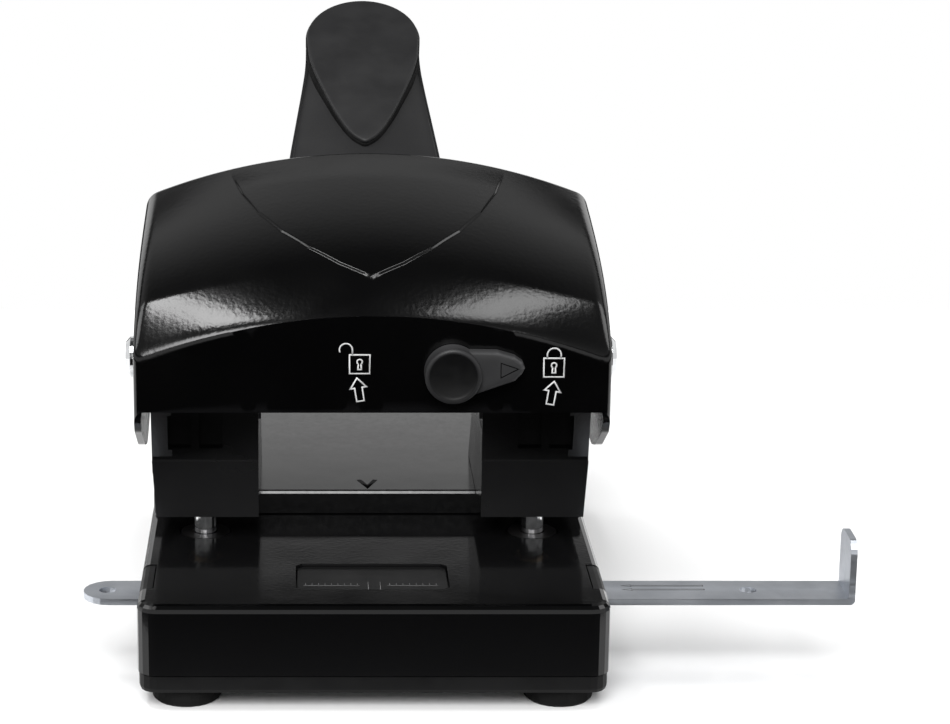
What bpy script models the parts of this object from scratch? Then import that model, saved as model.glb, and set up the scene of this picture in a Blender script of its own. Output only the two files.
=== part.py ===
import bpy
import bmesh
from math import cos, dist, exp, pi, radians, sin, sqrt, tan
from mathutils import Matrix, Vector

# A heavy duty two hole punch, shown locked down. X is to the right, Y to the
# rear and Z up, in metres. The origin is in the flat underside of the chip
# tray, midway between the side walls and below the line of the punch pins.

# Base, with its sides and the hood's measured out from the pins
hole_spacing = 0.080
base_side = 0.014
hood_side = 0.0156
base_front = 0.0532
base_rear = 0.090
shell_height = 0.0172
tray_skirt = 0.0043
base_sheet = 0.0016
base_corner = 0.0045
base_bend = 0.0018

# Punching
pin_width = 0.0055
paper_gap = 0.0065
stop_setback = 0.0125
pin_overlap = 0.0012

# Handle
pivot_ahead = 0.008
pivot_rise = 0.0463
shaft_behind = 0.015
shaft_below = 0.0049
hood_sheet = 0.0023
panel_ahead = 0.025
panel_bottom_rise = 0.0374
lever_slope = radians(32)

# Clearances
seat_gap = 0.0003
running_gap = 0.0003
overrun = 0.002

# Booleans work on a copy this much larger, which keeps small steps exact
enlarge_by = 1000
enlarge = Matrix.Scale(enlarge_by, 4)
sliver = 0.0005
flat_angle = radians(0.05)
merge_distance = 0.0000001
in_millimetres = 1000

# Derived places
pin_x = hole_spacing / 2
base_half = pin_x + base_side
shell_bottom = tray_skirt + seat_gap
base_top = tray_skirt + shell_height
hood_half = pin_x + hood_side
hood_inner = hood_half - hood_sheet
pin_radius = pin_width / 2
pivot_y = -pivot_ahead
pivot_z = base_top + pivot_rise
shaft_y = pivot_y + shaft_behind
shaft_z = pivot_z - shaft_below
tower_bottom = base_top + paper_gap


def clear_scene():
    for item in list(bpy.data.objects):
        bpy.data.objects.remove(item, do_unlink=True)


def finish(name, colour, roughness, metallic):
    look = bpy.data.materials.new(name)
    look.use_nodes = True
    surface = look.node_tree.nodes["Principled BSDF"]
    surface.inputs["Base Color"].default_value = (*colour, 1)
    surface.inputs["Roughness"].default_value = roughness
    surface.inputs["Metallic"].default_value = metallic
    look.diffuse_color = (*colour, 1)
    return look


def placed(name, shape, look=None):
    bmesh.ops.recalc_face_normals(shape, faces=shape.faces)
    mesh = bpy.data.meshes.new(name)
    shape.to_mesh(mesh)
    shape.free()
    if look:
        mesh.materials.append(look)
    piece = bpy.data.objects.new(name, mesh)
    bpy.context.scene.collection.objects.link(piece)
    return piece


def smoothed(piece, angle=radians(35)):
    piece.data.shade_smooth()
    piece.data.set_sharp_from_angle(angle=angle)
    return piece


def box(low, high, name="box"):
    shape = bmesh.new()
    bmesh.ops.create_cube(shape, size=1)
    for vert in shape.verts:
        for axis in range(3):
            share = vert.co[axis] + 1 / 2
            vert.co[axis] = low[axis] + share * (high[axis] - low[axis])
    return placed(name, shape)


def prism(outline, axis, start, end, name="prism"):
    """Extrude a flat outline along X, Y or Z."""
    shape = bmesh.new()
    order = {"X": lambda u, v, w: (w, u, v), "Y": lambda u, v, w: (u, w, v), "Z": lambda u, v, w: (u, v, w)}
    place = order[axis]
    first = [shape.verts.new(place(u, v, start)) for u, v in outline]
    last = [shape.verts.new(place(u, v, end)) for u, v in outline]
    shape.faces.new(first)
    shape.faces.new(last)
    count = len(outline)
    for i in range(count):
        j = (i + 1) % count
        shape.faces.new((first[i], first[j], last[j], last[i]))
    return placed(name, shape)


def turned(profile, centre, axis, name="turned", steps=24):
    """Turn a closed profile of (radius, height) points about an axis through centre."""
    shape = bmesh.new()
    rings = []
    for i in range(steps):
        angle = 2 * pi * (i + 1 / 2) / steps
        rings.append([shape.verts.new((r * cos(angle), r * sin(angle), h)) for r, h in profile])
    count = len(profile)
    for i in range(steps):
        here, there = rings[i], rings[(i + 1) % steps]
        for k in range(count):
            m = (k + 1) % count
            if profile[k][0] > 0 or profile[m][0] > 0:
                shape.faces.new((here[k], here[m], there[m], there[k]))
    bmesh.ops.remove_doubles(shape, verts=shape.verts, dist=merge_distance)
    turn = {"Z": Matrix(), "X": Matrix.Rotation(pi / 2, 4, "Y"), "Y": Matrix.Rotation(-pi / 2, 4, "X")}[axis]
    bmesh.ops.transform(shape, matrix=Matrix.Translation(centre) @ turn, verts=shape.verts)
    return placed(name, shape)


def rod(radius, start, end, centre, axis, name="rod", steps=24):
    """A round bar along an axis, from start to end on that axis."""
    return turned([(0, start), (radius, start), (radius, end), (0, end)], centre, axis, name, steps)


def rounded(corners, radii, steps=4):
    """Round the corners of an outline with arcs."""
    count = len(corners)
    radii = radii if isinstance(radii, (list, tuple)) else [radii] * count
    points = []
    for i in range(count):
        corner = Vector(corners[i])
        before = (Vector(corners[i - 1]) - corner).normalized()
        after = (Vector(corners[(i + 1) % count]) - corner).normalized()
        radius = radii[i]
        half = before.angle(after) / 2
        if radius <= 0 or half > pi / 2 - radians(1):
            points.append(tuple(corner))
            continue
        middle = corner + (before + after).normalized() * (radius / sin(half))
        first = corner + before * (radius / tan(half)) - middle
        last = corner + after * (radius / tan(half)) - middle
        sweep = first.angle_signed(last)
        for k in range(steps + 1):
            points.append(tuple(middle + Matrix.Rotation(-sweep * k / steps, 2) @ first))
    return points


def rectangle(left, right, low, high):
    return [(left, low), (right, low), (right, high), (left, high)]


def bevelled(piece, chosen, width, steps=2):
    """Round the edges that a test on their two ends picks."""
    shape = bmesh.new()
    shape.from_mesh(piece.data)
    edges = [edge for edge in shape.edges if chosen(edge.verts[0].co, edge.verts[1].co)]
    bmesh.ops.bevel(shape, geom=edges, offset=width, segments=steps, profile=1 / 2, affect="EDGES")
    shape.to_mesh(piece.data)
    shape.free()
    return piece


def baked(piece):
    """Keep the evaluated shape and drop the modifiers."""
    graph = bpy.context.evaluated_depsgraph_get()
    mesh = bpy.data.meshes.new_from_object(piece.evaluated_get(graph))
    mesh.name = piece.name
    piece.modifiers.clear()
    piece.data = mesh
    return piece


def triangulated(piece):
    """Split every face, so that the next Boolean meets flat triangles only."""
    shape = bmesh.new()
    shape.from_mesh(piece.data)
    bmesh.ops.triangulate(shape, faces=shape.faces)
    shape.to_mesh(piece.data)
    shape.free()


def simplified(piece):
    """Merge slivers and flat neighbours that a Boolean leaves."""
    shape = bmesh.new()
    shape.from_mesh(piece.data)
    bmesh.ops.remove_doubles(shape, verts=shape.verts, dist=sliver)
    bmesh.ops.dissolve_degenerate(shape, edges=shape.edges, dist=sliver)
    bmesh.ops.dissolve_limit(shape, angle_limit=flat_angle, verts=shape.verts, edges=shape.edges)
    bmesh.ops.triangulate(shape, faces=shape.faces)
    shape.to_mesh(piece.data)
    shape.free()


def combine(piece, tools, operation):
    piece.data.transform(enlarge)
    triangulated(piece)
    for tool in tools:
        tool.data.transform(enlarge)
        triangulated(tool)
        modifier = piece.modifiers.new(operation.lower(), "BOOLEAN")
        modifier.operation = operation
        modifier.solver = "EXACT"
        modifier.object = tool
        tool.hide_render = True
        tool.display_type = "WIRE"
        baked(piece)
        simplified(piece)
    piece.data.transform(enlarge.inverted())
    for tool in tools:
        bpy.data.objects.remove(tool, do_unlink=True)
    return piece


def cut(piece, *tools):
    return combine(piece, tools, "DIFFERENCE")


def joined(piece, *tools):
    return combine(piece, tools, "UNION")


def made(piece, name, look, smooth=True):
    """Name a finished piece and give it its material."""
    piece.name = name
    piece.data.name = name
    piece.data.materials.clear()
    piece.data.materials.append(look)
    if smooth:
        smoothed(piece)
    return piece


def mirrored(piece, name):
    """The same piece on the other side of the middle plane."""
    shape = bmesh.new()
    shape.from_mesh(piece.data)
    for vert in shape.verts:
        vert.co.x = -vert.co.x
    bmesh.ops.reverse_faces(shape, faces=shape.faces)
    mesh = bpy.data.meshes.new(name)
    shape.to_mesh(mesh)
    shape.free()
    for look in piece.data.materials:
        mesh.materials.append(look)
    twin = bpy.data.objects.new(name, mesh)
    bpy.context.scene.collection.objects.link(twin)
    return twin


# Base shell: a pressed steel box, open below

arm_width = 0.0124
arm_setback = 0.0192
arm_centre = arm_setback - base_front
arm_thickness = 0.0015
arm_depth = 0.003
arm_top = base_top - arm_depth
arm_bottom = arm_top - arm_thickness

window_half = 0.0178
window_setback = 0.0114
window_length = 0.0175
window_front = window_setback - base_front
window_rear = window_front + window_length
window_chamfer = 0.0014

notch_width = 0.0034
notch_margin = 0.0020
notch_inner = base_half - notch_width
notch_front = arm_centre - arm_width / 2 - notch_margin / 2
notch_rear = arm_centre + arm_width / 2 + notch_margin * 3 / 2
notch_depth = 0.0068

die_radius = 0.006
die_flange = 0.0085
die_height = 0.005
die_clearance = 0.0004

screw_inboard = 0.0008
screw_x = pin_x - screw_inboard
first_screw = 0.009
screw_pitch = 0.013
screw_places = (stop_setback + first_screw, stop_setback + first_screw + screw_pitch)
screw_radius = 0.0019
screw_head_radius = 0.004
screw_head = 0.0024
screw_reach = 0.0155
screw_clearance = 0.0004

hinge_radius = 0.0024
hinge_pin_radius = 0.0009
hinge_y = base_rear - base_sheet / 2
hinge_z = shell_bottom - seat_gap
hinge_clearance = 0.0004
hinge_inboard = 0.036
knuckle_start = base_half - hinge_inboard
knuckle_length = 0.008
knuckle_ends = [knuckle_start + knuckle_length * n for n in range(4)]


def base_block(inset, bottom, top, name="block"):
    """A box with the base's plan, drawn in by an inset."""
    outline = rectangle(-base_half + inset, base_half - inset, -base_front + inset, base_rear - inset)
    radius = base_corner - inset
    block = prism(rounded(outline, radius, 4), "Z", bottom, top, name)
    level = lambda a, b: min(a.z, b.z) > top - base_sheet / 4
    return bevelled(block, level, base_bend - inset / 2, 3)


def knuckle(start, end, radius):
    return rod(radius, start, end, (0, hinge_y, hinge_z), "X", steps=16)


def base_shell(look):
    inner = base_block(base_sheet, shell_bottom - overrun, base_top - base_sheet)
    corners = [
        (-window_half, window_front),
        (window_half, window_front),
        (window_half, window_rear),
        (-window_half, window_rear),
    ]
    low, high = base_top - base_sheet - overrun, base_top + overrun
    window = prism(rounded(corners, window_chamfer, 1), "Z", low, high)
    tools = [inner, window]
    for side in (-1, 1):
        ends = sorted((side * notch_inner, side * (base_half + overrun)))
        tools.append(box((ends[0], notch_front, base_top - notch_depth), (ends[1], notch_rear, high)))
        hole = die_radius + die_clearance
        tools.append(rod(hole, low, high, (side * pin_x, 0, 0), "Z"))
        for y in screw_places:
            hole = screw_radius + screw_clearance
            tools.append(rod(hole, low, high, (side * screw_x, y, 0), "Z", steps=12))
        ends = sorted((side * (knuckle_ends[1] - running_gap), side * (knuckle_ends[2] + running_gap)))
        tools.append(knuckle(ends[0], ends[1], hinge_radius + hinge_clearance))
    shell = cut(base_block(0, shell_bottom, base_top), *tools)
    rolls = []
    for side in (-1, 1):
        for first in (0, 2):
            ends = sorted((side * knuckle_ends[first], side * knuckle_ends[first + 1]))
            rolls.append(knuckle(ends[0], ends[1], hinge_radius))
    joined(shell, *rolls)
    bores = []
    for side in (-1, 1):
        ends = sorted((side * (knuckle_ends[0] - overrun), side * (knuckle_ends[3] + overrun)))
        bores.append(knuckle(ends[0], ends[1], hinge_pin_radius + hinge_clearance / 2))
    return made(cut(shell, *bores), "base_shell", look)


def die(look):
    bore = pin_radius + running_gap
    top = base_top
    ledge = base_top - base_sheet - seat_gap
    foot = base_top - die_height
    profile = [(bore, foot), (die_flange, foot), (die_flange, ledge), (die_radius, ledge), (die_radius, top), (bore, top)]
    right = made(turned(profile, (pin_x, 0, 0), "Z"), "die_right", look)
    mirrored(right, "die_left")


def tower_screws(look):
    under = base_top - base_sheet - seat_gap
    edge = screw_head / 4
    profile = [
        (0, under - screw_head),
        (screw_head_radius - edge, under - screw_head),
        (screw_head_radius, under - screw_head + edge),
        (screw_head_radius, under),
        (screw_radius, under),
        (screw_radius, base_top + screw_reach),
        (0, base_top + screw_reach),
    ]
    number = 0
    for x in (-screw_x, screw_x):
        for y in screw_places:
            number += 1
            made(turned(profile, (x, y, 0), "Z", steps=12), f"tower_screw_{number}", look)


# Rear deck: a spacer plate whose front edge is the paper stop

deck_rear_margin = 0.0035
deck_side_margin = 0.0007
deck_rear = base_rear - deck_rear_margin
deck_half = base_half - deck_side_margin
deck_corner = 0.0035
deck_edge = 0.0008
deck_top = tower_bottom - seat_gap


def rear_deck(look):
    outline = rectangle(-deck_half, deck_half, stop_setback, deck_rear)
    radii = [deck_edge, deck_edge, deck_corner, deck_corner]
    deck = prism(rounded(outline, radii, 3), "Z", base_top + seat_gap, deck_top)
    bevelled(deck, lambda a, b: min(a.z, b.z) > deck_top - seat_gap, deck_edge, 2)
    holes = []
    for x in (-screw_x, screw_x):
        for y in screw_places:
            holes.append(rod(screw_radius + screw_clearance, base_top, deck_top + overrun, (x, y, 0), "Z", steps=12))
    return made(cut(deck, *holes), "rear_deck", look)


# Towers: cast guides for the pins, with the cheeks that carry the handle

tower_inboard = 0.0132
tower_outboard = 0.0115
tower_draft = 0.0009
tower_inner = pin_x - tower_inboard
tower_outer = pin_x + tower_outboard
tower_front = -0.009
tower_back = 0.043
rim_rise = 0.0205
block_rise = 0.0275
wall_rise = 0.034
wall_setback = 0.0008
wall_thickness = 0.0023
rib_depth = 0.0012
gusset_top_y = 0.027
cheek_thickness = 0.0049
pivot_boss = 0.0065
rivet_radius = 0.003
cheek_saddle_rise = 0.0365
saddle_front = -0.0012
saddle_back = 0.0165
pocket_front = 0.0148
pocket_floor_rise = 0.0112
pocket_wall = 0.0042
screw_boss_radius = 0.0046
screw_boss_high = 0.0195
screw_boss_step = 0.003
screw_boss_rises = (screw_boss_high, screw_boss_high - screw_boss_step)
bush_radius = 0.0045
bush_clearance = 0.0003
bush_top_rise = 0.0142
spring_bore = 0.0054
notch_start = 0.0086
rib_width = 0.0019
rib_notch_width = 0.0056
first_notch = tower_inner + notch_start
second_notch = first_notch + rib_notch_width + rib_width
rib_notches = ((first_notch, first_notch + rib_notch_width), (second_notch, second_notch + rib_notch_width))
notch_floor_rise = 0.0242
tower_edge = 0.0006

tower_rim = base_top + rim_rise
block_top = base_top + block_rise
cheek_inner = tower_outer + tower_draft - cheek_thickness
cheek_outer = tower_outer + tower_draft


def arc(centre, radius, start, end, steps):
    turns = [start + (end - start) * i / steps for i in range(steps + 1)]
    return [(centre[0] + radius * cos(a), centre[1] + radius * sin(a)) for a in turns]


def tower_block():
    """The guide block and its gusset, seen from the side."""
    wall_front = tower_front + wall_setback
    wall_back = wall_front + wall_thickness
    wall_top = base_top + wall_rise
    outline = [
        (tower_front, tower_bottom),
        (tower_back, tower_bottom),
        (gusset_top_y, block_top),
        (wall_back, block_top),
        (wall_back, wall_top),
        (wall_front, wall_top),
        (wall_front, tower_rim),
        (tower_front, tower_rim),
    ]
    block = prism(outline, "X", tower_inner, tower_outer)
    for vert in block.data.vertices:
        if vert.co.x > (tower_inner + tower_outer) / 2:
            share = (vert.co.z - tower_bottom) / (tower_rim - tower_bottom)
            vert.co.x += tower_draft * min(1, share)
    return block


def tower_cheek():
    """The outer cheek, with the boss for the handle's rivet."""
    saddle = base_top + cheek_saddle_rise
    root = (tower_bottom + block_top) / 2
    outline = [
        (tower_front + wall_setback + wall_thickness / 2, root),
        (gusset_top_y - saddle_back / 4, root),
        (saddle_back, saddle),
        (saddle_front, saddle),
        *arc((pivot_y, pivot_z), pivot_boss, 0, pi, 10),
    ]
    return prism(outline, "X", cheek_inner, cheek_outer)


def tower(look):
    tools = []
    low = base_top + pocket_floor_rise
    high = pivot_z
    back = tower_back + overrun
    tools.append(box((tower_inner + pocket_wall, pocket_front, low), (cheek_inner, back, high)))
    bore = bush_radius + bush_clearance
    tools.append(rod(bore, base_top, base_top + bush_top_rise, (pin_x, 0, 0), "Z"))
    seat = base_top + bush_top_rise - seat_gap
    tools.append(rod(spring_bore, seat, block_top + overrun, (pin_x, 0, 0), "Z"))
    tools.append(rod(rivet_radius + running_gap, cheek_inner - overrun, hood_half, (0, pivot_y, pivot_z), "X", steps=20))
    for start, end in rib_notches:
        floor = base_top + notch_floor_rise
        front = tower_front - overrun
        rear = tower_front + wall_setback + rib_depth
        top = base_top + wall_rise + overrun
        slope = [(front, floor - (rear - front) / 2), (rear, floor), (rear, top), (front, top)]
        tools.append(prism(slope, "X", start, end))
    body = joined(tower_block(), tower_cheek())
    cut(body, *tools)
    bosses = []
    for y, rise in zip(screw_places, screw_boss_rises):
        bosses.append(rod(screw_boss_radius, low - seat_gap, base_top + rise, (screw_x, y, 0), "Z", steps=16))
    joined(body, *bosses)
    holes = []
    for y in screw_places:
        top = base_top + screw_reach + seat_gap
        holes.append(rod(screw_radius + screw_clearance, base_top, top, (screw_x, y, 0), "Z", steps=12))
    cut(body, *holes)
    right = made(body, "tower_right", look)
    mirrored(right, "tower_left")


def guide_bush(look):
    bore = pin_radius + running_gap
    low = tower_bottom + seat_gap
    high = base_top + bush_top_rise - seat_gap
    profile = [(bore, low), (bush_radius, low), (bush_radius, high), (bore, high)]
    right = made(turned(profile, (pin_x, 0, 0), "Z"), "guide_bush_right", look)
    mirrored(right, "guide_bush_left")


rivet_head_radius = 0.00495
rivet_head = 0.0022
rivet_tail_radius = 0.0042
rivet_tail = 0.0012


def pivot_rivet(look):
    face = hood_half + seat_gap
    inner = cheek_inner - seat_gap
    profile = [
        (0, inner - rivet_tail),
        (rivet_tail_radius, inner - rivet_tail),
        (rivet_tail_radius, inner),
        (rivet_radius, inner),
        (rivet_radius, face),
        (rivet_head_radius, face),
        (rivet_head_radius, face + rivet_head / 2),
        (rivet_head_radius * 3 / 4, face + rivet_head),
        (0, face + rivet_head),
    ]
    right = made(turned(profile, (0, pivot_y, pivot_z), "X", steps=20), "pivot_rivet_right", look)
    mirrored(right, "pivot_rivet_left")


# Format indicator and guides for the paper arm

indicator_recess = 0.0006
indicator_flange = 0.003
indicator_gap = 0.0004
guide_reach = 0.0036
guide_flange = 0.0018
guide_bottom = base_top - notch_depth + seat_gap
guide_drop = 0.00015


def format_indicator(look):
    low = arm_top + seat_gap
    ledge = base_top - base_sheet - seat_gap
    outline = rectangle(
        -window_half - indicator_flange,
        window_half + indicator_flange,
        window_front - indicator_flange,
        window_rear + indicator_flange,
    )
    plate = prism(rounded(outline, indicator_flange / 2, 2), "Z", low, ledge)
    inner = rectangle(
        -window_half + indicator_gap,
        window_half - indicator_gap,
        window_front + indicator_gap,
        window_rear - indicator_gap,
    )
    face = prism(rounded(inner, window_chamfer, 1), "Z", (low + ledge) / 2, base_top - indicator_recess)
    return made(joined(plate, face), "format_indicator", look)


def arm_guide(look):
    gap = seat_gap
    plug = box(
        (notch_inner + gap, notch_front + gap, guide_bottom),
        (base_half, notch_rear - gap, base_top - guide_drop),
    )
    bevelled(plug, lambda a, b: min(a.x, b.x) > base_half - gap and min(a.z, b.z) > base_top - gap, base_bend, 3)
    under = base_top - base_sheet - gap
    inside = base_half - base_sheet - gap
    flange = box(
        (notch_inner - guide_reach, notch_front - guide_flange, guide_bottom),
        (inside, notch_rear + guide_flange, under),
    )
    body = joined(plug, flange)
    slot = arm_width / 2 + running_gap
    passage = box(
        (notch_inner - guide_reach - overrun, arm_centre - slot, arm_bottom - running_gap),
        (base_half + overrun, arm_centre + slot, arm_top + running_gap),
    )
    cut(body, passage)
    right = made(body, "arm_guide_right", look, smooth=False)
    mirrored(right, "arm_guide_left")


# Paper arm: a steel strip with a rounded end and an upright stop

arm_left_reach = 0.0133
arm_right_reach = 0.0575
arm_left = -base_half - arm_left_reach
arm_right = base_half + arm_right_reach
arm_stop_rise = 0.0109
arm_hole_inset = 0.0056
arm_hole_back = 0.0238
arm_holes = (arm_left + arm_hole_inset, arm_right - arm_hole_back)
arm_hole_radius = 0.002
arm_stop_corner = 0.003
arm_bend = 0.0008


def paper_arm(look):
    half = arm_width / 2
    low, high = arm_centre - half, arm_centre + half
    turn = arc((arm_left + half, arm_centre), half, pi / 2, 3 * pi / 2, 10)
    outline = turn + [(arm_right, low), (arm_right, high)]
    strip = prism(outline, "Z", arm_bottom, arm_top)
    face = arm_right - arm_thickness
    top = base_top + arm_stop_rise
    sides = rectangle(low, high, arm_bottom, top)
    radii = [0, 0, arm_stop_corner, arm_stop_corner]
    stop = prism(rounded(sides, radii, 4), "X", face, arm_right)
    body = joined(strip, stop)
    outer = lambda a, b: min(a.x, b.x) > arm_right - arm_thickness / 4 and max(a.z, b.z) < arm_bottom + arm_thickness / 4
    bevelled(body, outer, arm_bend, 2)
    holes = []
    for x in arm_holes:
        span = (arm_bottom - overrun, arm_top + overrun)
        holes.append(rod(arm_hole_radius, *span, (x, arm_centre, 0), "Z", steps=16))
    return made(cut(body, *holes), "paper_arm", look)


# Chip tray: the plastic bottom, hinged along its rear edge

tray_inset = 0.0003
tray_floor = 0.002
tray_bottom_edge = 0.0012
lip_gap = 0.0006
lip_thickness = 0.0018
lip_height = 0.0078
lip_relief = 0.0035
hinge_relief = 0.0012
foot_radius = 0.008
foot_height = 0.004
foot_recess = 0.0008
foot_inset = 0.011
foot_front_inset = 0.010
foot_x = base_half - foot_inset
foot_places = ((foot_x, foot_front_inset - base_front), (foot_x, base_rear - foot_inset))
foot_edge = 0.0006


def tray_block(inset, bottom, top):
    outline = rectangle(-base_half + inset, base_half - inset, -base_front + inset, base_rear - inset)
    return prism(rounded(outline, max(base_corner - inset, base_bend), 4), "Z", bottom, top)


def chip_tray(look):
    body = tray_block(tray_inset, 0, tray_skirt)
    bevelled(body, lambda a, b: max(a.z, b.z) < tray_bottom_edge / 4, tray_bottom_edge, 2)
    lip_outer = base_sheet + lip_gap
    lip_inner = lip_outer + lip_thickness
    lip_top = tray_skirt + lip_height
    lip = tray_block(lip_outer, tray_floor / 2, lip_top)
    joined(body, lip)
    tools = [tray_block(lip_inner, tray_floor, lip_top + overrun)]
    rear = base_rear + overrun
    relief = hinge_y - lip_relief
    tools.append(box((-base_half, hinge_y - base_sheet, tray_skirt - hinge_relief), (base_half, rear, tray_skirt + seat_gap)))
    for side in (-1, 1):
        start = knuckle_ends[0] - hinge_clearance
        end = knuckle_ends[3] + hinge_clearance
        ends = sorted((side * start, side * end))
        tools.append(box((ends[0], relief, tray_skirt - hinge_relief), (ends[1], rear, lip_top + overrun)))
        for first in (0, 2):
            start = knuckle_ends[first] - (hinge_clearance if first == 0 else running_gap)
            end = knuckle_ends[first + 1] + (running_gap if first == 0 else hinge_clearance)
            ends = sorted((side * start, side * end))
            tools.append(knuckle(ends[0], ends[1], hinge_radius + hinge_clearance))
        for x, y in foot_places:
            tools.append(rod(foot_radius + seat_gap, -overrun, foot_recess, (side * x, y, 0), "Z"))
    cut(body, *tools)
    rolls, bores = [], []
    for side in (-1, 1):
        ends = sorted((side * (knuckle_ends[1] + running_gap), side * (knuckle_ends[2] - running_gap)))
        rolls.append(knuckle(ends[0], ends[1], hinge_radius))
        low = (ends[0], relief - lip_thickness, tray_floor / 2)
        high = (ends[1], hinge_y, tray_skirt - hinge_relief / 2)
        rolls.append(box(low, high))
        ends = sorted((side * (knuckle_ends[0] - overrun), side * (knuckle_ends[3] + overrun)))
        bores.append(knuckle(ends[0], ends[1], hinge_pin_radius + hinge_clearance / 2))
    joined(body, *rolls)
    cut(body, *bores)
    return made(body, "chip_tray", look)


def tray_hinge_pin(look):
    ends = (knuckle_ends[0] + running_gap, knuckle_ends[3] - running_gap)
    pin = rod(hinge_pin_radius, ends[0], ends[1], (0, hinge_y, hinge_z), "X", steps=10)
    right = made(pin, "tray_hinge_pin_right", look)
    mirrored(right, "tray_hinge_pin_left")


def feet(look):
    top = foot_recess - seat_gap
    profile = [
        (0, -foot_height),
        (foot_radius - foot_edge, -foot_height),
        (foot_radius, -foot_height + foot_edge),
        (foot_radius, top),
        (0, top),
    ]
    for (x, y), place in zip(foot_places, ("front", "rear")):
        right = made(turned(profile, (x, y, 0), "Z"), f"foot_{place}_right", look)
        mirrored(right, f"foot_{place}_left")


# Carriage: the press bar and the two punch pins that hang from it

bar_overhang = 0.005
bar_half = pin_x + bar_overhang
bar_front = -0.0056
bar_back = 0.0128
bar_thickness = 0.0048
bar_waist = 0.0031
bar_waist_inset = 0.0138
bar_waist_half = pin_x - bar_waist_inset
bar_rise = 0.035
bar_top = base_top + bar_rise
bar_bottom = bar_top - bar_thickness
pin_head_radius = 0.0043
pin_head = 0.0014
pin_notch = 0.0009
clip_radius = 0.0048
clip_thickness = 0.001
clip_top = bar_bottom - seat_gap
bar_edge = 0.0006


def press_bar(look):
    body = box((-bar_half, bar_front, bar_bottom), (bar_half, bar_back, bar_top))
    bevelled(body, lambda a, b: abs(a.x - b.x) < seat_gap and abs(a.y - b.y) < seat_gap, bar_edge, 2)
    tools = [box((-bar_waist_half, bar_front - overrun, bar_bottom - overrun), (bar_waist_half, bar_back + overrun, bar_top - bar_waist))]
    for side in (-1, 1):
        centre = (side * pin_x, 0, 0)
        tools.append(rod(pin_radius + seat_gap, bar_bottom - overrun, bar_top + overrun, centre, "Z"))
        tools.append(rod(pin_head_radius + seat_gap, bar_top - pin_head - seat_gap, bar_top + overrun, centre, "Z"))
    return made(cut(body, *tools), "press_bar", look)


def punch_pin(look):
    tip = base_top - pin_overlap
    top = bar_top
    shoulder = bar_top - pin_head
    profile = [(0, tip), (pin_radius, tip), (pin_radius, shoulder), (pin_head_radius, shoulder), (pin_head_radius, top), (0, top)]
    pin = turned(profile, (pin_x, 0, 0), "Z")
    reach = pin_radius + overrun
    groove = [(-reach, tip - overrun), (reach, tip - overrun), (reach, tip), (0, tip + pin_notch), (-reach, tip)]
    cut(pin, prism([(pin_x + u, v) for u, v in groove], "Y", -reach, reach))
    right = made(pin, "punch_pin_right", look)
    mirrored(right, "punch_pin_left")


def pin_clip(look):
    bore = pin_radius + seat_gap
    low = clip_top - clip_thickness
    profile = [(bore, low), (clip_radius, low), (clip_radius, clip_top), (bore, clip_top)]
    right = made(turned(profile, (pin_x, 0, 0), "Z"), "pin_clip_right", look)
    mirrored(right, "pin_clip_left")


# Return springs: one unbroken wire each, with closer end turns

spring_radius = 0.0041
spring_wire = 0.0009
spring_turns = 5
spring_points = 10
spring_low = base_top + bush_top_rise
spring_high = clip_top - clip_thickness - seat_gap
closed_turn_share = 0.14


def spring_height(share):
    """The coil climbs slowly through its first and last turns."""
    end = 1 / spring_turns
    if share < end:
        return closed_turn_share * share / end
    if share > 1 - end:
        return 1 - closed_turn_share * (1 - share) / end
    return closed_turn_share + (1 - 2 * closed_turn_share) * (share - end) / (1 - 2 * end)


def spring_path():
    count = spring_turns * spring_points
    low = spring_low + spring_wire / 2 + seat_gap / 2
    high = spring_high - spring_wire / 2
    path = []
    for i in range(count + 1):
        angle = 2 * pi * i / spring_points
        z = low + (high - low) * spring_height(i / count)
        path.append((spring_radius * cos(angle), spring_radius * sin(angle), z))
    return path


def least_spring_gap(path):
    """The least space between turns, measured on the wire's centre line."""
    apart = spring_points * 3 // 4
    near = min(dist(path[i], path[j]) for i in range(len(path)) for j in range(i + apart, len(path)))
    return near - spring_wire


def return_spring(look):
    path = spring_path()
    curve = bpy.data.curves.new("return_spring", "CURVE")
    curve.dimensions = "3D"
    curve.bevel_depth = spring_wire / 2
    curve.bevel_resolution = 1
    curve.use_fill_caps = True
    line = curve.splines.new("POLY")
    line.points.add(len(path) - 1)
    for point, place in zip(line.points, path):
        point.co = (place[0] + pin_x, place[1], place[2], 1)
    coil = bpy.data.objects.new("coil", curve)
    bpy.context.scene.collection.objects.link(coil)
    graph = bpy.context.evaluated_depsgraph_get()
    mesh = bpy.data.meshes.new_from_object(coil.evaluated_get(graph))
    bpy.data.objects.remove(coil, do_unlink=True)
    shape = bmesh.new()
    shape.from_mesh(mesh)
    bmesh.ops.remove_doubles(shape, verts=shape.verts, dist=merge_distance)
    right = made(placed("return_spring_right", shape), "return_spring_right", look)
    mirrored(right, "return_spring_left")
    print(f"least gap between spring turns {least_spring_gap(path) * in_millimetres:.2f} mm")


# Hood: a pressed steel cover that carries the lever, the shaft and the knob

hood_rear = 0.0453
ridge_y = 0.040
panel_top_rise = 0.0606
brow_side_rise = 0.0488
brow_centre_lift = 0.0126
brow_side_lift = 0.0143
brow_run = 0.015
crown_slope = 0.2
side_slope = 0.14
panel_corner = 0.002
ridge_corner = 0.0045
corner_run = 0.010
inner_drop_share = 1.1
rear_flange = 0.0090
hood_floor_rise = 0.012
hood_floor = base_top + hood_floor_rise
ear_bottom_rise = 0.0213
knob_x = 0.0185
knob_rise = 0.0474
knob_z = base_top + knob_rise
spindle_radius = 0.003
cross_shaft_radius = 0.0035
stay_radius = 0.003
stay_along = 0.0344
stay_below = 0.0018
crown_steps = 9
corner_steps = 3


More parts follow.
